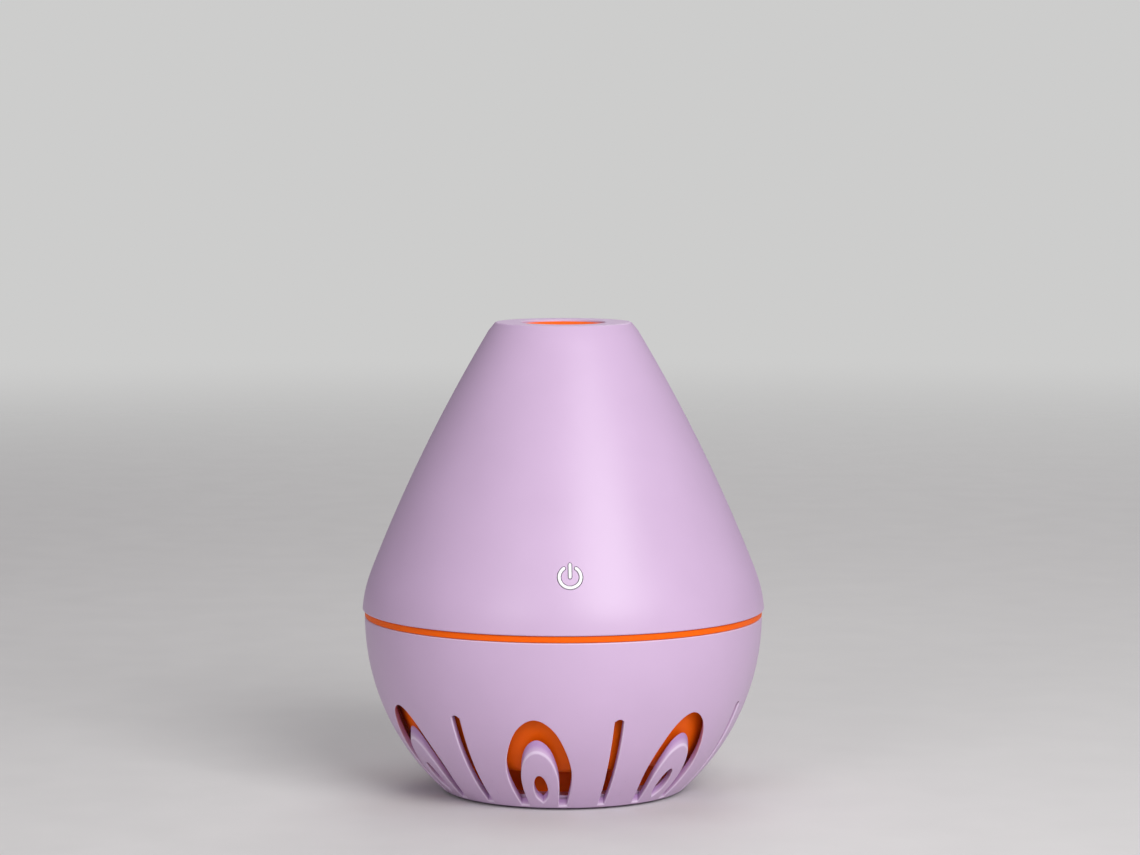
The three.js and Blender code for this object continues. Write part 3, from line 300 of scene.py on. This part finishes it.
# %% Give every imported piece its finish
for subpart in frame["record"]["subparts"]:
    packed = nodes[subpart["node"]]
    packed.data.materials.clear()
    packed.data.materials.append(SLOT_FINISHES[subpart["material_slot"]])


# %% [markdown]
# ## Turning a shell
# Every large piece here is round. On a lathe it would be turned from an outline, and the same thing
# is done here: a circle is added at the first point of the outline, then extruded and resized from
# point to point. The last ring meets the first, so the doubled points are merged and the wall is
# closed.


# %% A helper that turns an outline
def deselect_all():
    """Clears the selection, because an operator acts on all that is selected."""
    bpy.ops.object.select_all(action="DESELECT")


def turn_piece(name, outline, segments, closed=True):
    """Turns (radius, height) points about the upright axis, ring by ring."""
    deselect_all()
    tiny = 1e-7
    radius, height = outline[0]
    bpy.ops.mesh.primitive_circle_add(
        vertices=segments, radius=max(radius, tiny), location=(0, 0, 0)
    )
    piece = bpy.context.object
    piece.name = name
    bpy.ops.object.mode_set(mode="EDIT")
    bpy.ops.mesh.select_all(action="SELECT")
    bpy.ops.transform.translate(value=(0, 0, height))
    points = outline[1:] + ([outline[0]] if closed else [])
    for next_radius, next_height in points:
        bpy.ops.mesh.extrude_region_move(
            TRANSFORM_OT_translate={"value": (0, 0, next_height - height)}
        )
        scale = max(next_radius, tiny) / max(radius, tiny)
        bpy.ops.transform.resize(value=(scale, scale, 1), center_override=(0, 0, next_height))
        radius, height = next_radius, next_height
    bpy.ops.mesh.select_all(action="SELECT")
    bpy.ops.mesh.remove_doubles(threshold=1e-6)
    bpy.ops.mesh.normals_make_consistent(inside=False)
    bpy.ops.object.mode_set(mode="OBJECT")
    return piece


def dress(piece, material, slot, body, *replaced, angle=35):
    """Shades a finished piece, gives it its finish, and puts it on its body."""
    deselect_all()
    piece.select_set(True)
    bpy.context.view_layer.objects.active = piece
    bpy.ops.object.shade_smooth_by_angle(angle=math.radians(angle))
    weighted = piece.modifiers.new("weighted", "WEIGHTED_NORMAL")
    weighted.keep_sharp = True
    bpy.ops.object.modifier_apply(modifier=weighted.name)
    piece.data.materials.clear()
    piece.data.materials.append(material)
    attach(piece, body)
    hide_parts(*replaced)
    print(piece.name, "faces:", len(piece.data.polygons))


def arc(centre, radius, start, end, steps):
    """Points on an arc from one angle to another, in degrees."""
    points = []
    for i in range(steps + 1):
        a = math.radians(start + (end - start) * i / steps)
        points.append((centre[0] + radius * math.cos(a), centre[1] + radius * math.sin(a)))
    return points


# %% [markdown]
# ## The head's outer surface
# The head rises from a nearly upright rim, rounds over a low shoulder and runs up a long, slightly
# swollen cone to a flat top. Two curves describe it: a cubic one for the shoulder and a quadratic
# one for the cone, meeting in the same direction. The inner wall is the same curve moved inwards.

# %% Sizes of the head
head_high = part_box("upper_shell")[1]
RIM_RADIUS = head_high.y
RIM_HEIGHT = 50 * MM
TOP_HEIGHT = head_high.z
TOP_RADIUS = 19 * MM
HEAD_WALL = 2.2 * MM
OUTLET_RADIUS = 11.3 * MM
SHOULDER_RISE = 15.7 * MM
SHOULDER_DROP = 4.45 * MM
SHOULDER_HANDLE = 6 * MM
RIM_LEAN = math.radians(3.4)
CROWN_BULGE = 1.4 * MM
TURN_STEPS = 168
print("head:", round(RIM_RADIUS / MM, 2), "mm radius,", round(TOP_HEIGHT / MM, 2), "mm high")

# %% The head's skin as two curves
rim_edge = Vector((RIM_RADIUS, RIM_HEIGHT))
rim_way = Vector((-math.sin(RIM_LEAN), math.cos(RIM_LEAN)))
shoulder_end = rim_edge + Vector((-SHOULDER_DROP, SHOULDER_RISE))
top_edge = Vector((TOP_RADIUS, TOP_HEIGHT))
chord = top_edge - shoulder_end
swell = Vector((chord.y, -chord.x)).normalized() * 2 * CROWN_BULGE
crown_handle = (shoulder_end + top_edge) / 2 + swell
crown_start = (crown_handle - shoulder_end).normalized()
shoulder_points = [
    rim_edge,
    rim_edge + rim_way * SHOULDER_HANDLE,
    shoulder_end - crown_start * SHOULDER_HANDLE,
    shoulder_end,
]
crown_points = [shoulder_end, crown_handle, top_edge]


def on_curve(points, t):
    """The place and the direction of a Bezier curve at t."""
    level = points
    while len(level) > 2:
        level = [a.lerp(b, t) for a, b in zip(level, level[1:])]
    return level[0].lerp(level[1], t), (level[1] - level[0]).normalized()


def head_skin(inset, shoulder_steps=14, crown_steps=26):
    """Points from the rim to the top edge, moved in from the surface by inset."""
    stations = [(shoulder_points, i / shoulder_steps) for i in range(shoulder_steps)]
    stations += [(crown_points, i / crown_steps) for i in range(crown_steps + 1)]
    points = []
    for curve, t in stations:
        place, along = on_curve(curve, t)
        points.append((place.x - along.y * inset, place.y + along.x * inset))
    return points


def head_at(height, halvings=40):
    """The radius of the skin at a height, and its lean from upright."""
    curve = shoulder_points if height < shoulder_end.y else crown_points
    low, high = 0.0, 1.0
    for _ in range(halvings):
        middle_t = (low + high) / 2
        if on_curve(curve, middle_t)[0].y < height:
            low = middle_t
        else:
            high = middle_t
    place, along = on_curve(curve, low)
    return place.x, math.atan2(-along.x, along.y)


# %% Turn the head
TOP_ROUNDING = 0.9 * MM
OUTLET_ROUNDING = 0.45 * MM
RIM_ROUNDING = 0.4 * MM
under_top = TOP_HEIGHT - HEAD_WALL
outer_skin = [q for q in head_skin(0)[1:] if q[1] < TOP_HEIGHT - TOP_ROUNDING]
inner_skin = [q for q in head_skin(HEAD_WALL) if RIM_HEIGHT < q[1] < under_top]
round_top = arc((TOP_RADIUS - TOP_ROUNDING, TOP_HEIGHT - TOP_ROUNDING), TOP_ROUNDING, 30, 90, 5)
round_outlet = arc(
    (OUTLET_RADIUS + OUTLET_ROUNDING, TOP_HEIGHT - OUTLET_ROUNDING), OUTLET_ROUNDING, 90, 180, 4
)
round_rim = arc((RIM_RADIUS - RIM_ROUNDING, RIM_HEIGHT + RIM_ROUNDING), RIM_ROUNDING, -90, 0, 4)
head_outline = (
    [(RIM_RADIUS - HEAD_WALL, RIM_HEIGHT)]
    + round_rim
    + outer_skin
    + round_top
    + round_outlet
    + [(OUTLET_RADIUS, under_top)]
    + inner_skin[::-1]
)
head = turn_piece("head_shell", head_outline, TURN_STEPS)
print("head outline points:", len(head_outline))

# %% [markdown]
# ## The power symbol
# The button is a white light guide. Its broken ring and its bar stand in slots through the wall, with
# a hairline of shade round each. One pair of outlines gives both: a wider copy cuts the slots, and
# the exact one, with a rounded face, is the button. A filled flat curve is extruded for each.

# %% Where the symbol sits
BUTTON_HEIGHT = 65 * MM
button_radius, button_lean = head_at(BUTTON_HEIGHT)
SYMBOL_RADIUS = 2.85 * MM
STROKE_WIDTH = 0.8 * MM
STROKE_CLEARANCE = 0.2 * MM
SYMBOL_GAP = math.radians(34)
BAR_TOP = 3.8 * MM
BAR_BOTTOM = -0.4 * MM
print("button at radius", round(button_radius / MM, 2), "lean", round(math.degrees(button_lean), 2))


# %% Outlines of the symbol's two strokes
def round_end(centre, half, start, steps=6):
    """A half circle of points round the end of a stroke."""
    return arc(centre, half, start, start + 180, steps)


def ring_outline(half, steps=48):
    """The broken ring, half a stroke wide on each side of its middle line."""
    start = 90 + math.degrees(SYMBOL_GAP)
    end = 450 - math.degrees(SYMBOL_GAP)
    outer = arc((0, 0), SYMBOL_RADIUS + half, start, end, steps)
    inner = arc((0, 0), SYMBOL_RADIUS - half, end, start, steps)
    last = arc((0, 0), SYMBOL_RADIUS, end, end, 1)[0]
    first = arc((0, 0), SYMBOL_RADIUS, start, start, 1)[0]
    return outer + round_end(last, half, end)[1:-1] + inner + round_end(first, half, start + 180)[1:-1]


def bar_outline(half):
    """The upright bar, with round ends."""
    middle_half = STROKE_WIDTH / 2
    top = round_end((0, BAR_TOP - middle_half), half, 0)
    return top + round_end((0, BAR_BOTTOM + middle_half), half, 180)


# %% A helper that gives flat outlines thickness
def flat_piece(name, outlines, front, back, rounding=0.0):
    """Fills flat outlines, gives them thickness from back to front and rounds their edges."""
    deselect_all()
    sheet = bpy.data.curves.new(name, "CURVE")
    sheet.dimensions = "2D"
    sheet.fill_mode = "BOTH"
    for outline in outlines:
        spline = sheet.splines.new("POLY")
        spline.points.add(len(outline) - 1)
        for point, (x, y) in zip(spline.points, outline):
            point.co = (x, y, 0, 1)
        spline.use_cyclic_u = True
    sheet.extrude = (front - back) / 2 - rounding
    sheet.bevel_depth = rounding
    sheet.bevel_resolution = 3
    sheet.offset = -rounding
    piece = bpy.data.objects.new(name, sheet)
    bpy.context.scene.collection.objects.link(piece)
    bpy.context.view_layer.objects.active = piece
    piece.select_set(True)
    bpy.ops.object.convert(target="MESH")
    bpy.ops.object.mode_set(mode="EDIT")
    bpy.ops.mesh.select_all(action="SELECT")
    bpy.ops.mesh.remove_doubles(threshold=2e-6)
    bpy.ops.transform.translate(value=(0, 0, (front + back) / 2))
    bpy.ops.object.mode_set(mode="OBJECT")
    return piece


# %% Helpers that place, join and cut pieces
def apply_place(piece):
    """Moves a piece's place and turn into its mesh, so that its object sits at the origin."""
    deselect_all()
    piece.select_set(True)
    bpy.context.view_layer.objects.active = piece
    bpy.ops.object.transform_apply(location=True, rotation=True, scale=True)


def lean_onto_head(piece):
    """Turns a flat piece to face out of the head at the button's place."""
    piece.rotation_euler = (math.pi / 2 - button_lean, 0, 0)
    piece.location = (0, -button_radius, BUTTON_HEIGHT)
    apply_place(piece)


def join_pieces(name, pieces):
    """Makes one piece of several, under a new name."""
    deselect_all()
    for piece in pieces:
        piece.select_set(True)
    bpy.context.view_layer.objects.active = pieces[0]
    bpy.ops.object.join()
    pieces[0].name = name
    return pieces[0]


def cut_away(piece, cutter):
    """Cuts one solid out of another and removes the cutter."""
    deselect_all()
    piece.select_set(True)
    bpy.context.view_layer.objects.active = piece
    cut = piece.modifiers.new("cut", "BOOLEAN")
    cut.operation = "DIFFERENCE"
    cut.solver = "EXACT"
    cut.object = cutter
    bpy.ops.object.modifier_apply(modifier=cut.name)
    bpy.data.objects.remove(cutter)


# %% Cut the slots
CUTTER_FRONT = 2 * MM
CUTTER_BACK = -5 * MM
slot_half = STROKE_WIDTH / 2 + STROKE_CLEARANCE
for outline in (ring_outline(slot_half), bar_outline(slot_half)):
    cutter = flat_piece("slot_cutter", [outline], CUTTER_FRONT, CUTTER_BACK)
    lean_onto_head(cutter)
    cut_away(head, cutter)
print("slots cut, head faces:", len(head.data.polygons))

# %% Make the button
STROKE_PROUD = 0.15 * MM
PLATE_FRONT = -2.8 * MM
PLATE_BACK = -4.0 * MM
STEM_BACK = -4.9 * MM
STEM_RADIUS = 1.5 * MM
PLATE_RADIUS = 5.2 * MM
STROKE_ROUNDING = 0.1 * MM
SOFT_EDGE = 0.2 * MM
stroke_back = PLATE_FRONT - 0.3 * MM
strokes = [
    flat_piece("stroke", [shape(STROKE_WIDTH / 2)], STROKE_PROUD, stroke_back, STROKE_ROUNDING)
    for shape in (ring_outline, bar_outline)
]
plate_outline = [
    (0, STEM_BACK),
    (STEM_RADIUS, STEM_BACK),
    (STEM_RADIUS, PLATE_BACK),
    (PLATE_RADIUS - SOFT_EDGE, PLATE_BACK),
    (PLATE_RADIUS, PLATE_BACK + SOFT_EDGE),
    (PLATE_RADIUS, PLATE_FRONT - SOFT_EDGE),
    (PLATE_RADIUS - SOFT_EDGE, PLATE_FRONT),
    (0, PLATE_FRONT),
]
plate = turn_piece("plate", plate_outline, 48, closed=False)
button = join_pieces("power_symbol_button", [plate, *strokes])
lean_onto_head(button)
dress(button, white_guide, "white_light_guide", "button", "power_button")

# %% [markdown]
# ## The opening for the power lead
# The inlet stands just inside the back of the head, so the wall has a rounded opening that takes the
# grip of a plug. It is cut like the slots, with a block that has rounded corners.

# %% Cut the opening at the back
socket_low, socket_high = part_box("usb_socket")
PORT_WIDTH = 12.4 * MM
PORT_HEIGHT = 7 * MM
PORT_CORNER = 2.4 * MM
PORT_CUT_END = RIM_RADIUS + 5 * MM
PORT_CUT_START = 35 * MM


def rounded_block(width, height, corner, steps=6):
    """The outline of a block with round corners."""
    points = []
    for sx, sy, start in ((1, -1, -90), (1, 1, 0), (-1, 1, 90), (-1, -1, 180)):
        centre = (sx * (width / 2 - corner), sy * (height / 2 - corner))
        points += arc(centre, corner, start, start + 90, steps)
    return points


port_outline = rounded_block(PORT_WIDTH, PORT_HEIGHT, PORT_CORNER)
port_cutter = flat_piece("port_cutter", [port_outline], PORT_CUT_END, PORT_CUT_START)
port_cutter.rotation_euler = (-math.pi / 2, 0, 0)
port_cutter.location = (0, 0, (socket_low.z + socket_high.z) / 2)
apply_place(port_cutter)
cut_away(head, port_cutter)
dress(head, lilac, "lilac_plastic", "head", "upper_shell")

# %% [markdown]
# ## The orange outlet
# A dished insert fills the hole in the top, a little below the flat face. It is turned from a short
# outline: a thin rim, a cone that leads down to the hole over the mist disc, and rounded edges.

# %% Turn the outlet
nozzle_low, nozzle_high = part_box("mist_nozzle")
NOZZLE_RADIUS = OUTLET_RADIUS - 0.3 * MM
NOZZLE_HOLE = 4 * MM
NOZZLE_DISH = 2.6 * MM
SKIRT_RADIUS = 9.6 * MM
SKIRT_HEIGHT = 1.2 * MM
FLANGE_GAP = 0.1 * MM
LIP_ROUNDING = 0.4 * MM
nozzle_top = nozzle_high.z
dish_low = nozzle_top - NOZZLE_DISH
nozzle_outline = [
    (NOZZLE_HOLE, nozzle_low.z),
    (SKIRT_RADIUS, nozzle_low.z),
    (SKIRT_RADIUS, nozzle_low.z + SKIRT_HEIGHT),
    (nozzle_high.y, nozzle_low.z + SKIRT_HEIGHT + FLANGE_GAP),
    (nozzle_high.y, under_top - FLANGE_GAP),
    (NOZZLE_RADIUS, under_top - FLANGE_GAP),
    (NOZZLE_RADIUS, nozzle_top - 0.3 * MM),
    *arc((NOZZLE_RADIUS - LIP_ROUNDING, nozzle_top - LIP_ROUNDING), LIP_ROUNDING, 15, 150, 6),
    (9.2 * MM, nozzle_top - 0.85 * MM),
    (5.4 * MM, dish_low + 0.15 * MM),
    (4.6 * MM, dish_low - 0.1 * MM),
    (4.15 * MM, dish_low - 0.35 * MM),
    (NOZZLE_HOLE, dish_low - 0.7 * MM),
]
nozzle = turn_piece("outlet_insert", nozzle_outline, 96)
dress(nozzle, orange, "orange_plastic", "head", "mist_nozzle", angle=50)

# %% [markdown]
# ## The pierced bowl
# The bowl leaves its mould straight up, so each opening is cut upright through the slanting wall.
# Its cut faces are tall, and a petal's top edge stands well above its front edge. Cutting a curved
# wall after it is made leaves ragged edges. So one seventh of the wall is drawn flat first, and a
# filled curve makes its openings, thickness and softly rounded edges together. The flat piece is
# sliced finely, rolled onto the bowl's arc with its depth turned upright, and copied seven times.

# %% Sizes of the bowl
bowl_low, bowl_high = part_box("lower_shell")
BOWL_TOP = bowl_high.z
BOWL_BOTTOM = bowl_low.z
BOWL_RADIUS = bowl_high.y
FOOT_RADIUS = 33.2 * MM
BOWL_WALL = 1.7 * MM
EDGE_ROUNDING = 0.36 * MM
PETAL_COUNT = 7
PETAL_START = -10.7
PETAL_STEP = 360 / PETAL_COUNT
bowl_rise = BOWL_TOP - BOWL_BOTTOM
bowl_drop = BOWL_RADIUS - FOOT_RADIUS
BOWL_ARC = (bowl_rise**2 + bowl_drop**2) / (2 * bowl_drop)
BOWL_CENTRE = BOWL_RADIUS - BOWL_ARC
FLAT_RADIUS = 42 * MM
print("bowl arc radius:", round(BOWL_ARC / MM, 2), "mm")


# %% Between the flat piece and the bowl
def flat_point(degrees, height):
    """A place on the bowl's skin, in degrees and millimetres, as a point of the flat piece."""
    down = math.asin((BOWL_TOP - height * MM) / BOWL_ARC)
    return (math.radians(degrees) * FLAT_RADIUS, -down * BOWL_ARC)


def inner_angle(down):
    """Where the inner face is met by going straight up from the skin, as an angle below the top."""
    reach = (BOWL_ARC * math.cos(down)) / (BOWL_ARC - BOWL_WALL)
    return math.acos(min(1.0, reach))


PIERCED_HEIGHT = 27.6 * MM
PIERCED_TOP = math.asin((BOWL_TOP - PIERCED_HEIGHT) / BOWL_ARC)


def roll_onto_bowl(piece):
    """Bends the flat piece onto the bowl. Above the openings the depth turns back to square."""
    depths = piece.data.attributes.new("cut_depth", "FLOAT", "POINT")
    for vertex in piece.data.vertices:
        share = -vertex.co.z / BOWL_WALL
        depths.data[vertex.index].value = share
        turn = vertex.co.x / FLAT_RADIUS
        down = -vertex.co.y / BOWL_ARC
        if down > PIERCED_TOP:
            down_inside = inner_angle(down)
        else:
            down_inside = down * inner_angle(PIERCED_TOP) / PIERCED_TOP
        skin = Vector((BOWL_ARC * math.cos(down), BOWL_ARC * math.sin(down)))
        inside = Vector((math.cos(down_inside), math.sin(down_inside))) * (BOWL_ARC - BOWL_WALL)
        place = skin.lerp(inside, share)
        radius = BOWL_CENTRE + place.x
        vertex.co = (radius * math.sin(turn), -radius * math.cos(turn), BOWL_TOP - place.y)
    piece.data.update()


# %% Helpers that slice and trim the flat piece
def slice_finely(piece, left, right, low, high, columns, rows):
    """Cuts a flat piece into a grid, so that it bends smoothly."""
    deselect_all()
    piece.select_set(True)
    bpy.context.view_layer.objects.active = piece
    bpy.ops.object.mode_set(mode="EDIT")
    for i in range(1, columns):
        x = left + (right - left) * i / columns
        bpy.ops.mesh.select_all(action="SELECT")
        bpy.ops.mesh.bisect(plane_co=(x, 0, 0), plane_no=(1, 0, 0))
    for i in range(1, rows):
        y = low + (high - low) * i / rows
        bpy.ops.mesh.select_all(action="SELECT")
        bpy.ops.mesh.bisect(plane_co=(0, y, 0), plane_no=(0, 1, 0))
    bpy.ops.object.mode_set(mode="OBJECT")


def trim_ends(left, right):
    """Removes what lies past the active piece's sector, and leaves its two ends open for the next."""
    bpy.ops.object.mode_set(mode="EDIT")
    bpy.ops.mesh.select_all(action="SELECT")
    bpy.ops.mesh.bisect(plane_co=(left, 0, 0), plane_no=(1, 0, 0), clear_inner=True)
    bpy.ops.mesh.select_all(action="SELECT")
    bpy.ops.mesh.bisect(plane_co=(right, 0, 0), plane_no=(1, 0, 0), clear_outer=True)
    bpy.ops.object.mode_set(mode="OBJECT")


# %% Helpers for smooth outlines
def smooth_outline(side, steps=6):
    """A smooth line up one side through a few chosen points, and down its mirror image."""
    knots = side + [(-x, y) for x, y in reversed(side[:-1])]
    line = []
    for i in range(len(knots) - 1):
        before = Vector(knots[max(i - 1, 0)])
        a, b = Vector(knots[i]), Vector(knots[i + 1])
        after = Vector(knots[min(i + 2, len(knots) - 1)])
        for k in range(steps):
            t = k / steps
            lead = a * (2 * t**3 - 3 * t**2 + 1) + (b - before) * (t**3 - 2 * t**2 + t) / 2
            follow = b * (3 * t**2 - 2 * t**3) + (after - a) * (t**3 - t**2) / 2
            line.append(tuple(lead + follow))
    return line + [knots[-1]]


def eased(line, rounds):
    """Averages each point with its neighbours a few times, and leaves the two ends alone."""
    points = [Vector(q) for q in line]
    for _ in range(rounds):
        inner = [(a + b * 2 + c) / 4 for a, b, c in zip(points, points[1:], points[2:])]
        points = [points[0], *inner, points[-1]]
    return [tuple(q) for q in points]


# %% The outlines of the openings
ARCH_SIDE = [(10.2, 1.2), (12, 8), (11.1, 14), (8.35, 20), (5.2, 24.5), (0, 27.4)]
PETAL_SIDE = [(6.7, 1.2), (7.2, 7.5), (6.2, 12), (3.9, 16), (0, 17.8)]
EYELET_SIDE = [(0, 2.2), (2.2, 3.9), (2.7, 6.6), (1.7, 9.5), (0, 10.7)]
SLOT_SIDE = [(1.4, 1.4), (1.5, 14), (1.45, 24.9), (1.05, 26.3), (0, 26.8)]
ARCH_EASING = 10
PETAL_EASING = 3
arch = eased(smooth_outline(ARCH_SIDE), ARCH_EASING)
petal = eased(smooth_outline(PETAL_SIDE), PETAL_EASING)
eyelet = smooth_outline(EYELET_SIDE)[:-1]
slot = [(x + PETAL_STEP / 2, y) for x, y in smooth_outline(SLOT_SIDE)]
round_petal = arch + petal[::-1]
print("points: arch", len(arch), "petal", len(petal), "slot", len(slot))

# %% Make one seventh of the wall, flat
SECTOR_START = -19.0
sector_left = math.radians(SECTOR_START) * FLAT_RADIUS
sector_right = math.radians(SECTOR_START + PETAL_STEP) * FLAT_RADIUS
wall_low = flat_point(0, BOWL_BOTTOM / MM)[1]
spare = 8 * MM
SLICES_ACROSS = 26
SLICES_UP = 34
wall_sheet = [
    (sector_left - spare, wall_low),
    (sector_right + spare, wall_low),
    (sector_right + spare, 0),
    (sector_left - spare, 0),
]
openings = [[flat_point(*q) for q in shape] for shape in (round_petal, eyelet, slot)]
sector = flat_piece("bowl_sector", [wall_sheet, *openings], 0, -BOWL_WALL, EDGE_ROUNDING)
slice_finely(sector, sector_left, sector_right, wall_low, 0, SLICES_ACROSS, SLICES_UP)
trim_ends(sector_left, sector_right)
roll_onto_bowl(sector)
print("sector faces:", len(sector.data.polygons))


# %% Copy them round the bowl
def copies_round(piece, count, start, step):
    """Turned copies of a piece, each with its own mesh. The piece itself is removed."""
    made = []
    for i in range(count):
        copy = piece.copy()
        copy.data = piece.data.copy()
        bpy.context.scene.collection.objects.link(copy)
        copy.rotation_euler = (0, 0, math.radians(start + i * step))
        apply_place(copy)
        made.append(copy)
    bpy.data.objects.remove(piece)
    return made


walls = copies_round(sector, PETAL_COUNT, PETAL_START, PETAL_STEP)
bowl = join_pieces("petal_bowl", walls)
bpy.ops.object.mode_set(mode="EDIT")
bpy.ops.mesh.select_all(action="SELECT")
bpy.ops.mesh.remove_doubles(threshold=3e-6)
bpy.ops.mesh.select_all(action="DESELECT")
bpy.ops.mesh.select_non_manifold()
bpy.ops.object.mode_set(mode="OBJECT")
print("open points left in the wall:", sum(v.select for v in bowl.data.vertices))

# %% Add the ledge that the cup stands on
LEDGE_LOW = 2.4 * MM
LEDGE_HIGH = 4.2 * MM
LEDGE_RADIUS = 22 * MM
RECESS_RADIUS = FOOT_RADIUS - BOWL_WALL - 0.5 * MM
ledge_outline = [
    (LEDGE_RADIUS, LEDGE_LOW),
    (RECESS_RADIUS, LEDGE_LOW),
    (RECESS_RADIUS, BOWL_BOTTOM + 0.1 * MM),
    (RECESS_RADIUS + 0.1 * MM, BOWL_BOTTOM),
    (FOOT_RADIUS - 0.3 * MM, BOWL_BOTTOM),
    (FOOT_RADIUS + 0.1 * MM, LEDGE_HIGH - 1.6 * MM),
    (FOOT_RADIUS + 0.4 * MM, LEDGE_HIGH),
    (LEDGE_RADIUS + SOFT_EDGE, LEDGE_HIGH),
    (LEDGE_RADIUS, LEDGE_HIGH - SOFT_EDGE),
]
ledge = turn_piece("ledge", ledge_outline, TURN_STEPS)
bowl = join_pieces("petal_bowl", [bowl, ledge])
# The bowl takes the finish with the painted rim highlight and the painted cut-wall shade.
dress(bowl, lilac_with_painted_light, "lilac_plastic", "base", "lower_shell")

# %% [markdown]
# ## The water cup
# The cup follows the bowl a few millimetres inside it. Its flange is the only part that reaches the
# outside, as the thin band between the halves. It is turned from one outline, with the seal's
# rebate in its rim and a ring under its floor that stands on the bowl's ledge.

# %% Turn the cup
cup_low, cup_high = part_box("water_cup")
CUP_GAP = 1.7 * MM
CUP_WALL = 1.8 * MM
CUP_FLOOR = 11 * MM
BAND_HEIGHT = 1.7 * MM
SEAL_WIDTH = 2.6 * MM
SEAL_DEPTH = 1.4 * MM
COLLAR_DEPTH = 1.9 * MM
CUP_FOOT_INNER = 26 * MM
CUP_FOOT_OUTER = 28.5 * MM


def bowl_radius(height, inset):
    """The radius of the bowl's skin at a height, moved in by inset."""
    return BOWL_CENTRE + math.sqrt((BOWL_ARC - inset) ** 2 - (BOWL_TOP - height) ** 2)


def cup_side(low, high, inset, steps=18):
    """Points that follow the bowl from one height to another."""
    heights = [low + (high - low) * i / steps for i in range(steps + 1)]
    return [(bowl_radius(z, inset), z) for z in heights]


cup_inset = BOWL_WALL + CUP_GAP
inner_inset = cup_inset + CUP_WALL
band_bottom = cup_high.z - BAND_HEIGHT
mouth = bowl_radius(BOWL_TOP, inner_inset)
floor_top = CUP_FLOOR + CUP_WALL
collar = bowl_radius(BOWL_TOP, BOWL_WALL) - 0.4 * MM
foot_top = bowl_radius(CUP_FLOOR, cup_inset)
cup_outline = [
    (0, CUP_FLOOR),
    (CUP_FOOT_INNER, CUP_FLOOR),
    (CUP_FOOT_INNER, cup_low.z),
    (CUP_FOOT_OUTER, cup_low.z),
    (CUP_FOOT_OUTER, CUP_FLOOR),
    (foot_top - 2.0 * MM, CUP_FLOOR),
    (foot_top - 0.7 * MM, CUP_FLOOR + 0.35 * MM),
    *cup_side(CUP_FLOOR + 1.4 * MM, band_bottom - COLLAR_DEPTH, cup_inset),
    (collar, band_bottom - COLLAR_DEPTH + 0.4 * MM),
    (collar, band_bottom),
    (BOWL_RADIUS - SOFT_EDGE, band_bottom),
    (BOWL_RADIUS, band_bottom + SOFT_EDGE),
    (BOWL_RADIUS, cup_high.z - SOFT_EDGE),
    (BOWL_RADIUS - SOFT_EDGE, cup_high.z),
    (mouth + SEAL_WIDTH, cup_high.z),
    (mouth + SEAL_WIDTH, cup_high.z - SEAL_DEPTH),
    (mouth + SOFT_EDGE, cup_high.z - SEAL_DEPTH),
    (mouth, cup_high.z - SEAL_DEPTH - SOFT_EDGE),
    *cup_side(floor_top + 2.2 * MM, cup_high.z - 3.4 * MM, inner_inset)[::-1],
    (bowl_radius(floor_top + 0.9 * MM, inner_inset) - 0.8 * MM, floor_top + 0.7 * MM),
    (bowl_radius(floor_top, inner_inset) - 2.6 * MM, floor_top),
    (0, floor_top),
]
cup = turn_piece("orange_water_cup", cup_outline, TURN_STEPS, closed=False)
dress(cup, orange, "orange_plastic", "base", "water_cup", angle=40)

# %% [markdown]
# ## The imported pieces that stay
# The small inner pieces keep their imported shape. Their meshes are loose triangles, so a weld joins
# them first and a small bevel then rounds each hard edge, with both left as live modifiers.

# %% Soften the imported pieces
SMALL_BEVEL = 0.12 * MM
for packed in nodes.values():
    if packed.hide_render:
        continue
    weld = packed.modifiers.new("weld", "WELD")
    weld.merge_threshold = 2e-6
    soften = packed.modifiers.new("soften", "BEVEL")
    soften.width = SMALL_BEVEL
    soften.segments = 2
    soften.limit_method = "ANGLE"
    soften.angle_limit = math.radians(38)
    soften.harden_normals = True
    for face in packed.data.polygons:
        face.use_smooth = True
print("softened:", sum(1 for o in nodes.values() if o.modifiers))

# %% [markdown]
# ## The table
# A wide pale board. It catches the contact shadow under the bowl and throws light up into its
# openings. Far from the object it fades into the pale room, so that no edge shows behind it.

# %% Make the table
TABLE_REACH = 2.2
deselect_all()
bpy.ops.mesh.primitive_plane_add(size=2 * TABLE_REACH, location=(0, 0, 0))
table = bpy.context.object
table.name = "table"
bpy.ops.object.mode_set(mode="EDIT")
bpy.ops.mesh.select_all(action="SELECT")
bpy.ops.mesh.subdivide(number_cuts=3)
bpy.ops.object.mode_set(mode="OBJECT")
table_finish = finish("pale_board", (0.72, 0.715, 0.70), 0.7, drift=0.02, grain=900, bump=0.04)
table.data.materials.append(table_finish)

# %% Fade the table into the room
FADE_START = 0.45
FADE_END = 1.7
board = table_finish.node_tree
place = board.nodes.new("ShaderNodeTexCoord")
distance = board.nodes.new("ShaderNodeVectorMath")
distance.operation = "LENGTH"
board.links.new(place.outputs["Object"], distance.inputs[0])
fade = board.nodes.new("ShaderNodeMapRange")
fade.interpolation_type = "SMOOTHSTEP"
fade.inputs["From Min"].default_value = FADE_START
fade.inputs["From Max"].default_value = FADE_END
board.links.new(distance.outputs["Value"], fade.inputs["Value"])
clear = board.nodes.new("ShaderNodeBsdfTransparent")
vanish = board.nodes.new("ShaderNodeMixShader")
board.links.new(fade.outputs["Result"], vanish.inputs["Fac"])
board.links.new(shader_of(table_finish).outputs["BSDF"], vanish.inputs[1])
board.links.new(clear.outputs["BSDF"], vanish.inputs[2])
board.links.new(vanish.outputs["Shader"], board.nodes["Material Output"].inputs["Surface"])
print("the table fades out between", FADE_START, "and", FADE_END, "m")
